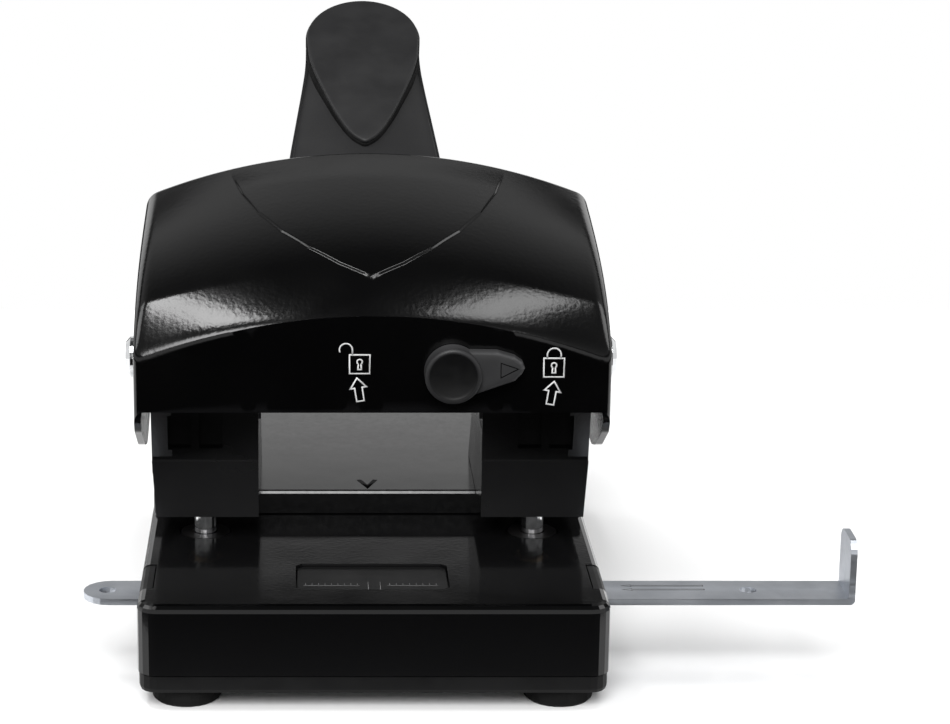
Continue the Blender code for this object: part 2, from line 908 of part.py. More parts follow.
def brow(run, start, lift, slope):
    """Height of the hood along its length: steep at the brow, flat at the ridge."""
    return start + lift * (1 - exp(-run / brow_run)) + slope * run


def hood_ring(y, inset):
    """Right half of the hood's cross section at y, from the bottom to the middle."""
    front = -panel_ahead + inset
    back = hood_rear - inset
    half = hood_half - inset
    for edge, radius in ((y - front, panel_corner), (back - y, panel_corner)):
        if edge < radius:
            half -= radius - sqrt(max(0, radius ** 2 - (radius - edge) ** 2))
    run = min(y, ridge_y) + panel_ahead
    centre = base_top + brow(run, panel_top_rise, brow_centre_lift, crown_slope) - inset * inner_drop_share
    side = base_top + brow(run, brow_side_rise, brow_side_lift, side_slope) - inset * inner_drop_share
    over = max(0, y - ridge_y)
    reach = back - ridge_y
    fall = reach - sqrt(max(0, reach ** 2 - over ** 2))
    centre -= fall
    side -= fall
    grown = min(1, run / corner_run)
    corner = panel_corner + (ridge_corner - panel_corner) * grown - inset / 2
    height = centre - side
    width = half - corner
    crown = (width ** 2 + height ** 2 - corner ** 2) / (2 * (height - corner))
    lean = width / (crown - corner)
    points = [(half, hood_floor)]
    for i in range(corner_steps + 1):
        angle = (pi / 2 - sin_angle(lean)) * i / corner_steps
        points.append((width + corner * cos(angle), side + corner * sin(angle)))
    span = sin_angle(lean)
    for i in range(1, crown_steps + 1):
        angle = span * (1 - i / crown_steps)
        points.append((crown * sin(angle), centre - crown + crown * cos(angle)))
    return points


def sin_angle(value):
    """The angle whose sine is value."""
    return pi / 2 - Vector((1, 0)).angle(Vector((value, sqrt(1 - value ** 2)))) if value > 0 else 0


def hood_stations(inset):
    front = -panel_ahead + inset
    back = hood_rear - inset
    stations = [front + panel_corner * (1 - cos(pi / 2 * i / 3)) for i in range(4)]
    first = stations[-1]
    count = 9
    for i in range(1, count + 1):
        stations.append(first + (ridge_y - first) * (i / count) ** (3 / 2))
    reach = back - ridge_y
    for i in range(1, 6):
        stations.append(ridge_y + reach * sin(pi / 2 * i / 5))
    return stations


def hood_body(inset):
    """A closed block with the hood's outside shape, drawn in by an inset."""
    shape = bmesh.new()
    rings = []
    for y in hood_stations(inset):
        half = hood_ring(y, inset)
        points = half + [(-x, z) for x, z in reversed(half[:-1])]
        rings.append([shape.verts.new((x, y, z)) for x, z in points])
    for here, there in zip(rings, rings[1:]):
        count = len(here)
        for i in range(count):
            j = (i + 1) % count
            shape.faces.new((here[i], here[j], there[j], there[i]))
    shape.faces.new(rings[0])
    shape.faces.new(rings[-1])
    return placed("hood_body", shape)


# The cheeks' lower outline, in shares of the hood's length and of the ear's drop
cheek_run_shares = (0, 0.05, 0.242, 0.398, 0.583, 0.733, 1)
cheek_rise_shares = (1, 0.652, 0.1925, 0, 0.304, 1.006, 2.062)
cheek_corner = 0.02
cheek_corner_shares = (0, 0.2, 1, 0.7, 0.7, 0.8, 0)
cheek_corners = [
    (run * (panel_ahead + hood_rear) - panel_ahead, ear_bottom_rise + rise * (panel_bottom_rise - ear_bottom_rise))
    for run, rise in zip(cheek_run_shares, cheek_rise_shares)
]
cheek_radii = [cheek_corner * share for share in cheek_corner_shares]


def under_cheeks():
    """Everything below the lower outline of the cheeks, seen from the side."""
    corners = [(-panel_ahead - overrun, panel_bottom_rise)]
    corners += cheek_corners
    corners += [(hood_rear + overrun, cheek_corners[-1][1]), (hood_rear + overrun, -paper_gap), (-panel_ahead - overrun, -paper_gap)]
    radii = [0, *cheek_radii, 0, 0, 0]
    outline = [(y, base_top + z) for y, z in rounded(corners, radii, 5)]
    return prism(outline, "X", -hood_half - overrun, hood_half + overrun)


def stay_place():
    """The rear stay crosses the lever's flanges, this far along the lever."""
    y = shaft_y + stay_along * cos(lever_slope) + stay_below * sin(lever_slope)
    z = shaft_z + stay_along * sin(lever_slope) - stay_below * cos(lever_slope)
    return y, z


def rear_opening():
    """The opening in the hood's rear wall, under the turned down flange."""
    half = [(x, z - rear_flange) for x, z in hood_ring(ridge_y, hood_sheet)[1:]]
    points = half + [(-x, z) for x, z in reversed(half[:-1])]
    low = base_top - overrun
    edge = hood_inner + overrun / 4
    points = [(edge, low), (edge, half[0][1])] + points + [(-edge, half[0][1]), (-edge, low)]
    return prism(points, "Y", hood_rear - hood_sheet - overrun, hood_rear + overrun)


def hood(look):
    tools = [hood_body(hood_sheet)]
    low = base_top
    tools.append(under_cheeks())
    front = -panel_ahead - overrun
    tools.append(box((-hood_inner, front, low), (hood_inner, -panel_ahead + hood_sheet + overrun, base_top + panel_bottom_rise)))
    shell = cut(hood_body(0), *tools)
    stay_y, stay_z = stay_place()
    width = hood_half + overrun
    holes = [
        rod(rivet_radius + running_gap, -width, width, (0, pivot_y, pivot_z), "X", steps=20),
        rod(cross_shaft_radius + seat_gap, -width, width, (0, shaft_y, shaft_z), "X", steps=20),
        rod(stay_radius + seat_gap, -width, width, (0, stay_y, stay_z), "X", steps=20),
        rod(spindle_radius + running_gap, front, -panel_ahead + hood_sheet + overrun, (knob_x, 0, knob_z), "Y", steps=20),
    ]
    cut(shell, *holes)
    cut(shell, rear_opening())
    return made(shell, "hood", look)


def cross_shaft(look):
    end = hood_half - seat_gap
    made(rod(cross_shaft_radius, -end, end, (0, shaft_y, shaft_z), "X", steps=20), "cross_shaft", look)
    stay_y, stay_z = stay_place()
    made(rod(stay_radius, -end, end, (0, stay_y, stay_z), "X", steps=20), "rear_stay", look)


roller_inboard = 0.0065
roller_start = pin_x - roller_inboard
roller_end = bar_half
roller_radius = shaft_z - bar_top - seat_gap
roller_clip_radius = 0.0052
roller_clip = 0.001


def press_roller(look, clip_look):
    bore = cross_shaft_radius + running_gap
    edge = seat_gap
    profile = [
        (bore, roller_start),
        (roller_radius - edge, roller_start),
        (roller_radius, roller_start + edge),
        (roller_radius, roller_end - edge),
        (roller_radius - edge, roller_end),
        (bore, roller_end),
    ]
    right = made(turned(profile, (0, shaft_y, shaft_z), "X", steps=28), "press_roller_right", look)
    mirrored(right, "press_roller_left")
    end = roller_start - seat_gap
    start = end - roller_clip
    profile = [(bore, start), (roller_clip_radius, start), (roller_clip_radius, end), (bore, end)]
    right = made(turned(profile, (0, shaft_y, shaft_z), "X", steps=20), "roller_clip_right", clip_look)
    mirrored(right, "roller_clip_left")


# Lever: a channel, modelled flat along Y from the cross shaft and then tilted

lever_half = 0.0188
lever_neck = 0.067
lever_slim = 0.0955
lever_slim_half = 0.0146
lever_end = 0.1277
lever_end_half = 0.0144
lever_top = 0.0062
lever_web = 0.0036
lever_wall = 0.0025
lever_foot = 0.0058
lever_shoulder = 0.0022
pad_start = 0.0699
pad_end = 0.1283
pad_widest = 0.1115
pad_half = 0.0151
pad_recess = 0.0015
pad_proud = 0.0008
pad_groove = 0.0005
pad_edge = 0.0010


def lever_outline(inset):
    """Plan of the lever, from its front lugs to the round end."""
    front = -lever_foot
    half = lever_half - inset
    slim = lever_slim_half - inset
    end = lever_end_half - inset
    centre = lever_end - lever_end_half
    turn = arc((0, centre), end, 0, pi, 16)
    right = [(half, front), (half, lever_neck), (slim, lever_slim)]
    left = [(-x, y) for x, y in reversed(right)]
    return right + turn + left


def pad_outline(grow):
    """A teardrop: a pointed tip that widens into a round end."""
    width_shares = (0.16, 0.33, 0.53, 0.75, 0.88, 0.965, 1)
    run_shares = (0.03, 0.12, 0.28, 0.51, 0.66, 0.80, 1)
    right = []
    for width_share, run_share in zip(width_shares, run_shares):
        right.append((pad_half * width_share + grow, pad_start + (pad_widest - pad_start) * run_share))
    turn = []
    reach = pad_end - pad_widest
    for i in range(1, 16):
        angle = pi * i / 16
        turn.append(((pad_half + grow) * cos(angle), pad_widest + (reach + grow) * sin(angle)))
    left = [(-x, y) for x, y in reversed(right)]
    return [(0, pad_start - grow)] + right + turn + left


def tilted(piece):
    """Swing a piece from the lever's flat frame up to its slope at the shaft."""
    turn = Matrix.Translation((0, shaft_y, shaft_z)) @ Matrix.Rotation(lever_slope, 4, "X")
    piece.data.transform(turn)
    return piece


def lever(look):
    body = prism(lever_outline(0), "Z", -lever_foot, lever_top)
    upper = lambda a, b: min(a.z, b.z) > lever_top - seat_gap and max(a.y, b.y) > -lever_foot + seat_gap
    bevelled(body, upper, lever_shoulder, 3)
    inner = lever_outline(lever_wall)
    front = -lever_foot - overrun
    inner = [(x, y if y > 0 else front) for x, y in inner]
    channel = prism(inner, "Z", -lever_foot - overrun, lever_top - lever_web)
    recess = prism(pad_outline(pad_groove), "Z", lever_top - pad_recess - seat_gap, lever_top + overrun)
    stay_y, stay_z = stay_place()
    along = (stay_y - shaft_y) * cos(lever_slope) + (stay_z - shaft_z) * sin(lever_slope)
    above = (stay_z - shaft_z) * cos(lever_slope) - (stay_y - shaft_y) * sin(lever_slope)
    width = lever_half + overrun
    holes = [
        rod(cross_shaft_radius + seat_gap, -width, width, (0, 0, 0), "X", steps=20),
        rod(stay_radius + seat_gap, -width, width, (0, along, above), "X", steps=20),
    ]
    cut(body, channel, recess, *holes)
    corner = lever_foot
    nose = [(-corner - overrun, -corner - overrun), (0, -corner - overrun), *arc((0, 0), corner, -pi / 2, -pi, 6), (-corner - overrun, 0)]
    cut(body, prism(nose, "X", -width, width))
    return made(tilted(body), "lever", look)


def grip_pad(look):
    low = lever_top - pad_recess
    high = lever_top + pad_proud
    pad = prism(pad_outline(0), "Z", low, high)
    bevelled(pad, lambda a, b: min(a.z, b.z) > high - seat_gap, pad_edge, 2)
    return made(tilted(pad), "grip_pad", look)


# Lock: a knob with a pointer on the front panel, and a catch behind it

knob_radius = 0.0066
knob_proud = 0.005
pointer_length = 0.0168
pointer_root = 0.0054
pointer_tip = 0.004
pointer_nose = 0.0032
pointer_proud = 0.0032
knob_edge = 0.0007
catch_length = 0.011
catch_half = 0.003
catch_front = -0.0195
catch_back = -0.0165


def lock_knob(look):
    back = -panel_ahead - seat_gap
    face = back - knob_proud
    profile = [
        (0, face),
        (knob_radius - knob_edge, face),
        (knob_radius, face + knob_edge),
        (knob_radius, back),
        (0, back),
    ]
    cap = turned(profile, (knob_x, 0, knob_z), "Y")
    shape = [
        (0, -pointer_root),
        (pointer_length - pointer_nose, -pointer_tip),
        (pointer_length, 0),
        (pointer_length - pointer_nose, pointer_tip),
        (0, pointer_root),
    ]
    outline = [(knob_x + x, knob_z + z) for x, z in shape]
    pointer = prism(outline, "Y", back - pointer_proud, back)
    bevelled(pointer, lambda a, b: max(a.y, b.y) < back - pointer_proud + seat_gap, knob_edge, 2)
    return made(joined(cap, pointer), "lock_knob", look)


def lock_spindle(look):
    front = -panel_ahead
    seat = catch_front
    made(rod(spindle_radius, front, seat - seat_gap, (knob_x, 0, knob_z), "Y", steps=20), "lock_spindle", look)


def lock_catch(look):
    hub = rod(spindle_radius + catch_half / 3, catch_front, catch_back, (knob_x, 0, knob_z), "Y", steps=20)
    shape = rectangle(0, catch_length, -catch_half, catch_half)
    outline = [(knob_x + x, knob_z + z) for x, z in rounded(shape, [0, catch_half / 2, catch_half / 2, 0], 3)]
    arm = prism(outline, "Y", catch_front, catch_back)
    return made(joined(hub, arm), "lock_catch", look)


# Parents on the joint axes, for anyone who poses the punch

def axis_empty(name, place, parent, children):
    empty = bpy.data.objects.new(name, None)
    bpy.context.scene.collection.objects.link(empty)
    empty.location = place
    if parent:
        empty.parent = parent
        empty.location = Vector(place) - parent.location
    bpy.context.view_layer.update()
    for child in children:
        piece = bpy.data.objects[child]
        piece.parent = empty
        piece.matrix_parent_inverse = empty.matrix_world.inverted()
    return empty


def build():
    clear_scene()
    gloss_black = finish("gloss_black", (0.010, 0.010, 0.011), 0.22, 0)
    cast_black = finish("cast_black", (0.011, 0.011, 0.012), 0.38, 0)
    deck_black = finish("deck_black", (0.012, 0.012, 0.013), 0.15, 0)
    tray_black = finish("tray_black", (0.013, 0.013, 0.013), 0.5, 0)
    rubber = finish("rubber", (0.016, 0.016, 0.016), 0.75, 0)
    steel = finish("steel", (0.56, 0.57, 0.58), 0.3, 1)
    dark_steel = finish("dark_steel", (0.2, 0.2, 0.21), 0.4, 1)
    bronze = finish("bronze", (0.45, 0.32, 0.16), 0.4, 1)
    bright = finish("bright", (0.75, 0.76, 0.77), 0.15, 1)

    base_shell(gloss_black)
    die(dark_steel)
    tower_screws(steel)
    rear_deck(deck_black)
    tower(cast_black)
    guide_bush(bronze)
    pivot_rivet(bright)
    format_indicator(tray_black)
    arm_guide(tray_black)
    paper_arm(steel)
    chip_tray(tray_black)
    tray_hinge_pin(steel)
    feet(rubber)
    press_bar(dark_steel)
    punch_pin(bright)
    pin_clip(steel)
    return_spring(steel)
    hood(gloss_black)
    cross_shaft(steel)
    press_roller(steel, dark_steel)
    lever(cast_black)
    grip_pad(rubber)
    lock_knob(tray_black)
    lock_spindle(steel)
    lock_catch(steel)

    handle = axis_empty("handle_axis", (0, pivot_y, pivot_z), None, (
        "hood", "lever", "grip_pad", "cross_shaft", "rear_stay",
        "press_roller_left", "press_roller_right", "roller_clip_left", "roller_clip_right",
    ))
    axis_empty("knob_axis", (knob_x, -panel_ahead, knob_z), handle, ("lock_knob", "lock_spindle", "lock_catch"))
    axis_empty("carriage_axis", (0, 0, bar_bottom), None, (
        "press_bar", "punch_pin_left", "punch_pin_right", "pin_clip_left", "pin_clip_right",
    ))
    axis_empty("arm_axis", (0, arm_centre, arm_top), None, ("paper_arm",))
    axis_empty("tray_axis", (0, hinge_y, hinge_z), None, (
        "chip_tray", "foot_front_left", "foot_front_right", "foot_rear_left", "foot_rear_right",
    ))


build()
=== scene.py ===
from math import cos, pi, radians, sin
import bpy
import bmesh
import numpy as np
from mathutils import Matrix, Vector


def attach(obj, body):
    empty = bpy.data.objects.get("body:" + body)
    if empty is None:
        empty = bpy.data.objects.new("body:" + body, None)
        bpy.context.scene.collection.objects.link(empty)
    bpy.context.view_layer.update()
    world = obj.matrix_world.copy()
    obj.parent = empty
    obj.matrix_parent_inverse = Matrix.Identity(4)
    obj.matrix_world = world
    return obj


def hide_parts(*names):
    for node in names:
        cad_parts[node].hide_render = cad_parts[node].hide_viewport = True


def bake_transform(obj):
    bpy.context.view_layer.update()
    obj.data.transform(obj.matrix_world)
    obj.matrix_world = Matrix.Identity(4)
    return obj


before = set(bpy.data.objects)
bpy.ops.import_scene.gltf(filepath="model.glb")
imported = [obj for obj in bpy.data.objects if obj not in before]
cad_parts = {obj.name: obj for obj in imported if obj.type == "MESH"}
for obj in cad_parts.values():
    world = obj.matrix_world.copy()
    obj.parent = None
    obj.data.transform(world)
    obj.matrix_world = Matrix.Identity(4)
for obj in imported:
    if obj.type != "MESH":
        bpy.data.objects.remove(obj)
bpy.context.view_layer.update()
print("frame loaded")

# Heavy duty hole punch, locked down. X right, Y to the rear, Z up, in metres.

# Small helpers for pieces and grids

mergeDistance = 0.000001


def newPiece(name, points, faces, body, look, smoothAngle=40):
    mesh = bpy.data.meshes.new(name)
    mesh.from_pydata(points.reshape(-1, 3).tolist(), [], faces)
    piece = bpy.data.objects.new(name, mesh)
    bpy.context.scene.collection.objects.link(piece)
    shape = bmesh.new()  # doubles merged, then faces turned outwards
    shape.from_mesh(mesh)
    bmesh.ops.remove_doubles(shape, verts=shape.verts, dist=mergeDistance)
    bmesh.ops.recalc_face_normals(shape, faces=shape.faces)
    shape.to_mesh(mesh)
    shape.free()
    mesh.shade_smooth()
    mesh.set_sharp_from_angle(angle=radians(smoothAngle))
    mesh.materials.append(look)
    if body:  # a piece given no body is left unattached here
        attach(piece, body)
    return piece


def gridFaces(rows, cols, closeCols=False, closeRows=False, start=0):
    # quads between neighbouring points of a rows by cols grid
    r = np.arange(rows if closeRows else rows - 1)
    c = np.arange(cols if closeCols else cols - 1)
    rr, cc = np.meshgrid(r, c, indexing="ij")
    nextR, nextC = (rr + 1) % rows, (cc + 1) % cols
    quads = np.stack([rr * cols + cc, rr * cols + nextC, nextR * cols + nextC, nextR * cols + cc], -1)
    return (quads.reshape(-1, 4) + start).tolist()


def joinGrids(grids):
    # several grids as one list of points and faces; shared edges merge later
    points, faces, start = [], [], 0
    for grid in grids:
        rows, cols = grid.shape[:2]
        faces += gridFaces(rows, cols, start=start)
        points.append(grid.reshape(-1, 3))
        start += rows * cols
    return np.concatenate(points), faces


def turnedGrid(profile, centre, axis, steps):
    # a closed profile of (radius, height) points turned about an axis: radius times cosine and sine, and the height
    profile = np.array(profile)
    turn = np.linspace(0, 2 * pi, steps, endpoint=False)[:, None]
    r, h = profile[None, :, 0], profile[None, :, 1] + 0 * turn
    a, b = r * np.cos(turn), r * np.sin(turn)
    order = {"X": (h, a, b), "Y": (a, h, b)}[axis]
    return np.stack(order, -1) + np.array(centre)


def turnedPiece(name, profile, centre, axis, body, look, steps, smoothAngle=35):
    grid = turnedGrid(profile, centre, axis, steps)
    faces = gridFaces(steps, len(profile), closeRows=True)
    return newPiece(name, grid, faces, body, look, smoothAngle)


def softened(piece, width, steps, angle=35):
    bevel = piece.modifiers.new("softEdges", "BEVEL")
    bevel.width, bevel.segments = width, steps
    bevel.limit_method, bevel.angle_limit = "ANGLE", radians(angle)
    bevel.harden_normals = True


def walled(piece, thickness):
    wall = piece.modifiers.new("wall", "SOLIDIFY")
    wall.thickness, wall.offset = thickness, -1


# Looks of this punch. noises: scale, detail and stretch along each axis. worn: the colour of rubbed edges and the
# sharpness from which they show. tint: a noise and the two colours it runs between. polish: a noise and the roughness
# it runs between. bumps: a noise, its strength and its depth in metres.

finishes = {
    "coverPaint": {
        "colour": (0.0009, 0.0009, 0.0010), "roughness": 0.13, "ior": 1.45,
        "noises": {"peel": (900, 1), "wave": (260, 2), "cloud": (60, 3)},
        "worn": ((0.004, 0.004, 0.0043), 0.54, 0.62), "polish": ("cloud", 0.13, 0.18),
        "bumps": [("peel", 0.34, 0.00007), ("wave", 0.11, 0.00015)],
    },
    "basePaint": {
        "colour": (0.0012, 0.0012, 0.0013), "roughness": 0.07, "ior": 1.42,
        "noises": {"peel": (1200, 1), "wave": (150, 2), "cloud": (60, 3)},
        "worn": ((0.006, 0.006, 0.0063), 0.54, 0.62), "polish": ("cloud", 0.07, 0.12),
        "bumps": [("peel", 0.1, 0.00007), ("wave", 0.03, 0.00015)],
    },
    "towerPaint": {
        "colour": (0.0011, 0.0011, 0.0012), "roughness": 0.20, "ior": 1.36,
        "noises": {"peel": (1400, 1), "wave": (200, 2), "cloud": (60, 3)},
        "worn": ((0.007, 0.007, 0.0073), 0.54, 0.62), "polish": ("cloud", 0.20, 0.28),
        "bumps": [("peel", 0.15, 0.00007), ("wave", 0.05, 0.00015)],
    },
    "castPaint": {
        "colour": (0.0115, 0.0115, 0.0120), "roughness": 0.32, "ior": 1.5,
        "noises": {"peel": (1400, 1), "wave": (300, 2), "cloud": (60, 3)},
        "worn": ((0.030, 0.030, 0.031), 0.54, 0.62), "polish": ("cloud", 0.32, 0.40),
        "bumps": [("peel", 0.3, 0.00007), ("wave", 0.1, 0.00015)],
    },
    "deckPlastic": {  # polished, nearly a mirror at a low angle
        "colour": (0.0016, 0.0016, 0.0018), "roughness": 0.13, "ior": 1.55,
        "noises": {"sag": (45, 2), "haze": (700, 3)},
        "tint": ("haze", (0.0013, 0.0013, 0.0015), (0.0022, 0.0022, 0.0024)), "polish": ("haze", 0.10, 0.17),
        "bumps": [("sag", 0.15, 0.0002)],
    },
    "trayPlastic": {  # moulded, with a fine spark-eroded grain
        "colour": (0.0026, 0.0026, 0.0028), "roughness": 0.45, "ior": 1.25,
        "noises": {"grain": (3200, 1), "cloud": (120, 3)},
        "tint": ("cloud", (0.0018, 0.0018, 0.0020), (0.0034, 0.0034, 0.0036)), "polish": ("cloud", 0.38, 0.5),
        "bumps": [("grain", 0.35, 0.00003)],
    },
    "knobPlastic": {  # greyed on its rim by fingers
        "colour": (0.0040, 0.0040, 0.0042), "roughness": 0.42, "ior": 1.3,
        "noises": {"grain": (2600, 2), "cloud": (300, 3)},
        "worn": ((0.06, 0.06, 0.062), 0.52, 0.60), "polish": ("cloud", 0.34, 0.5),
        "bumps": [("grain", 0.3, 0.00003)],
    },
    "pointerPlastic": {
        "colour": (0.030, 0.030, 0.031), "roughness": 0.42, "ior": 1.3,
        "noises": {"grain": (2600, 2), "cloud": (300, 3)},
        "worn": ((0.09, 0.09, 0.092), 0.52, 0.60), "polish": ("cloud", 0.34, 0.5),
        "bumps": [("grain", 0.3, 0.00003)],
    },
    "softRubber": {  # dull, with a dusty cast
        "colour": (0.009, 0.009, 0.0095), "roughness": 0.5, "ior": 1.4,
        "noises": {"grain": (2400, 2), "cloud": (110, 4)},
        "tint": ("cloud", (0.0075, 0.0075, 0.0080), (0.0105, 0.0105, 0.0110)), "polish": ("cloud", 0.46, 0.56),
        "bumps": [("grain", 0.3, 0.00004)],
    },
    "footRubber": {
        "colour": (0.004, 0.004, 0.004), "roughness": 0.75, "ior": 1.2,
        "noises": {"grain": (1500, 3), "cloud": (200, 2)},
        "tint": ("cloud", (0.003, 0.003, 0.003), (0.006, 0.006, 0.006)),
        "bumps": [("grain", 0.5, 0.00008)],
    },
    "platedStrip": {  # zinc plated steel, rolled along X
        "colour": (0.62, 0.65, 0.70), "roughness": 0.38, "metallic": 1, "anisotropy": 0.3,
        "noises": {"lines": (900, 3, (0.02, 1, 1)), "spots": (140, 4)},
        "tint": ("spots", (0.56, 0.59, 0.64), (0.67, 0.70, 0.75)), "polish": ("lines", 0.32, 0.46),
        "bumps": [("lines", 0.12, 0.00003)],
    },
    "turnedSteel": {  # bright rods, clips, screws and springs
        "colour": (0.56, 0.57, 0.58), "roughness": 0.28, "metallic": 1,
        "noises": {"scratch": (1800, 3, (1, 1, 0.15)), "spots": (200, 3)},
        "tint": ("spots", (0.48, 0.49, 0.50), (0.62, 0.63, 0.64)), "polish": ("scratch", 0.22, 0.38),
        "bumps": [("scratch", 0.1, 0.00002)],
    },
    "darkSteel": {  # hardened, with a blued and oiled skin
        "colour": (0.07, 0.07, 0.075), "roughness": 0.3, "metallic": 1,
        "noises": {"stain": (160, 4), "fine": (1500, 2)},
        "tint": ("stain", (0.045, 0.045, 0.05), (0.10, 0.095, 0.095)), "polish": ("stain", 0.32, 0.48),
        "bumps": [("fine", 0.12, 0.00003)],
    },
    "bushBronze": {
        "colour": (0.42, 0.29, 0.15), "roughness": 0.4, "metallic": 1,
        "noises": {"pores": (2200, 3)},
        "tint": ("pores", (0.30, 0.20, 0.10), (0.48, 0.34, 0.18)), "polish": ("pores", 0.34, 0.5),
        "bumps": [("pores", 0.2, 0.00003)],
    },
    "brightChrome": {  # polished rivets and pins
        "colour": (0.75, 0.76, 0.77), "roughness": 0.08, "metallic": 1,
        "noises": {"haze": (600, 3), "fine": (2500, 2)},
        "tint": ("haze", (0.68, 0.69, 0.70), (0.80, 0.81, 0.82)), "polish": ("haze", 0.06, 0.12),
        "bumps": [("fine", 0.05, 0.00002)],
    },
    "paleTable": {"colour": (0.95, 0.95, 0.95), "roughness": 0.9, "ior": 1.2},
}
# shade and index of the printed lines; darkMark also paints the shade inside the deck's cut-through notch
inks = {"printedWhite": (0.66, 1.45), "fadedPrint": (0.22, 1.45), "darkMark": (0.002, 1.08)}
for name, (shade, ior) in inks.items():
    finishes[name] = {
        "colour": (shade, shade, shade), "roughness": 0.5, "ior": ior,
        "noises": {"speckle": (2500, 2)}, "tint": ("speckle", [shade * 0.9] * 3, [shade * 1.05] * 3),
        "bumps": [("speckle", 0.1, 0.00001)],
    }
plainIor = 1.45
polishFrom = (0.3, 0.7)
tintFrom = (0.35, 0.65)


def objectNoise(nodes, links, scale, detail, stretch=(1, 1, 1)):
    # noise on object coordinates, drawn out along an axis for rolled and brushed metal
    where = nodes.new("ShaderNodeTexCoord")
    spread = nodes.new("ShaderNodeMapping")
    spread.inputs["Scale"].default_value = stretch
    noise = nodes.new("ShaderNodeTexNoise")
    noise.inputs["Scale"].default_value = scale
    noise.inputs["Detail"].default_value = detail
    links.new(where.outputs["Object"], spread.inputs["Vector"])
    links.new(spread.outputs["Vector"], noise.inputs["Vector"])
    return noise.outputs["Fac"]


def ranged(nodes, links, value, low, high, fromLow, fromHigh):
    step = nodes.new("ShaderNodeMapRange")
    step.inputs["From Min"].default_value = fromLow
    step.inputs["From Max"].default_value = fromHigh
    step.inputs["To Min"].default_value = low
    step.inputs["To Max"].default_value = high
    links.new(value, step.inputs["Value"])
    return step.outputs["Result"]


def bumped(nodes, links, surface, bumps):
    last = None
    for height, strength, depth in bumps:
        bump = nodes.new("ShaderNodeBump")
        bump.inputs["Strength"].default_value = strength
        bump.inputs["Distance"].default_value = depth
        links.new(height, bump.inputs["Height"])
        if last:
            links.new(last, bump.inputs["Normal"])
        last = bump.outputs["Normal"]
    links.new(last, surface.inputs["Normal"])


def tinted(nodes, links, surface, value, first, second):
    ramp = nodes.new("ShaderNodeValToRGB")
    for stop, position, colour in zip(ramp.color_ramp.elements, tintFrom, (first, second)):
        stop.position, stop.color = position, (*colour, 1)
    links.new(value, ramp.inputs["Fac"])
    links.new(ramp.outputs["Color"], surface.inputs["Base Color"])


def colourMix(nodes, links, factor):
    # a colour mix and its first and second colour sockets
    mix = nodes.new("ShaderNodeMix")
    mix.data_type = "RGBA"
    links.new(factor, mix.inputs["Factor"])
    return mix.outputs[2], mix.inputs[6], mix.inputs[7]


def wornEdges(nodes, links, surface, base, edge, low, high):
    # sharp convex edges are a little lighter, where paint is rubbed
    shape = nodes.new("ShaderNodeNewGeometry")
    mask = ranged(nodes, links, shape.outputs["Pointiness"], 0, 1, low, high)
    mixed, first, second = colourMix(nodes, links, mask)
    first.default_value = (*base, 1)
    second.default_value = (*edge, 1)
    links.new(mixed, surface.inputs["Base Color"])


def madeLook(name, finish):
    look = bpy.data.materials.new(name)
    look.use_nodes = True
    nodes, links = look.node_tree.nodes, look.node_tree.links
    surface = nodes["Principled BSDF"]
    surface.inputs["Base Color"].default_value = (*finish["colour"], 1)
    surface.inputs["Roughness"].default_value = finish["roughness"]
    surface.inputs["Metallic"].default_value = finish.get("metallic", 0)
    surface.inputs["IOR"].default_value = finish.get("ior", plainIor)
    surface.inputs["Anisotropic"].default_value = finish.get("anisotropy", 0)
    noises = {key: objectNoise(nodes, links, *values) for key, values in finish.get("noises", {}).items()}
    if "worn" in finish:
        wornEdges(nodes, links, surface, finish["colour"], *finish["worn"])
    if "tint" in finish:
        key, first, second = finish["tint"]
        tinted(nodes, links, surface, noises[key], first, second)
    if "polish" in finish:
        key, low, high = finish["polish"]
        links.new(ranged(nodes, links, noises[key], low, high, *polishFrom), surface.inputs["Roughness"])
    if "bumps" in finish:
        bumped(nodes, links, surface, [(noises[key], strength, depth) for key, strength, depth in finish["bumps"]])
    return look


looks = {name: madeLook(name, finish) for name, finish in finishes.items()}
nodeLooks = {
    "coverPaint": ("hood",),
    "basePaint": ("base_shell",),
    "towerPaint": ("tower_left", "tower_right"),
    "castPaint": ("lever",),
    "deckPlastic": ("rear_deck",),
    "trayPlastic": ("chip_tray", "format_indicator", "arm_guide_left", "arm_guide_right"),
    "knobPlastic": ("lock_knob",),
    "softRubber": ("grip_pad",),
    "footRubber": ("foot_front_left", "foot_front_right", "foot_rear_left", "foot_rear_right"),
    "platedStrip": ("paper_arm",),
    "turnedSteel": (
        "cross_shaft", "rear_stay", "roller_clip_left", "roller_clip_right", "pin_clip_left", "pin_clip_right",
        "return_spring_left", "return_spring_right", "tower_screw_1", "tower_screw_2", "tower_screw_3",
        "tower_screw_4", "tray_hinge_pin_left", "tray_hinge_pin_right", "lock_spindle", "lock_catch",
    ),
    "darkSteel": ("die_left", "die_right", "press_bar", "press_roller_left", "press_roller_right"),
    "bushBronze": ("guide_bush_left", "guide_bush_right"),
    "brightChrome": ("pivot_rivet_left", "pivot_rivet_right", "punch_pin_left", "punch_pin_right"),
}
for lookName, names in nodeLooks.items():
    for name in names:
        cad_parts[name].material_slots[0].material = looks[lookName]
print("looks made")


# Where the lock knob sits on the front panel, and its levels from back to front

knobSet = {
    "at": (0.0185, 0.0689), "back": -0.0253, "face": -0.0303, "radius": 0.0066, "pointerFace": -0.0285,
    "steps": 96, "edgeSteps": 8, "smoothAngle": 30,
}


# Hood: pressed cover, one sheet from the panel's lower edge over the brow to the turned rear flange

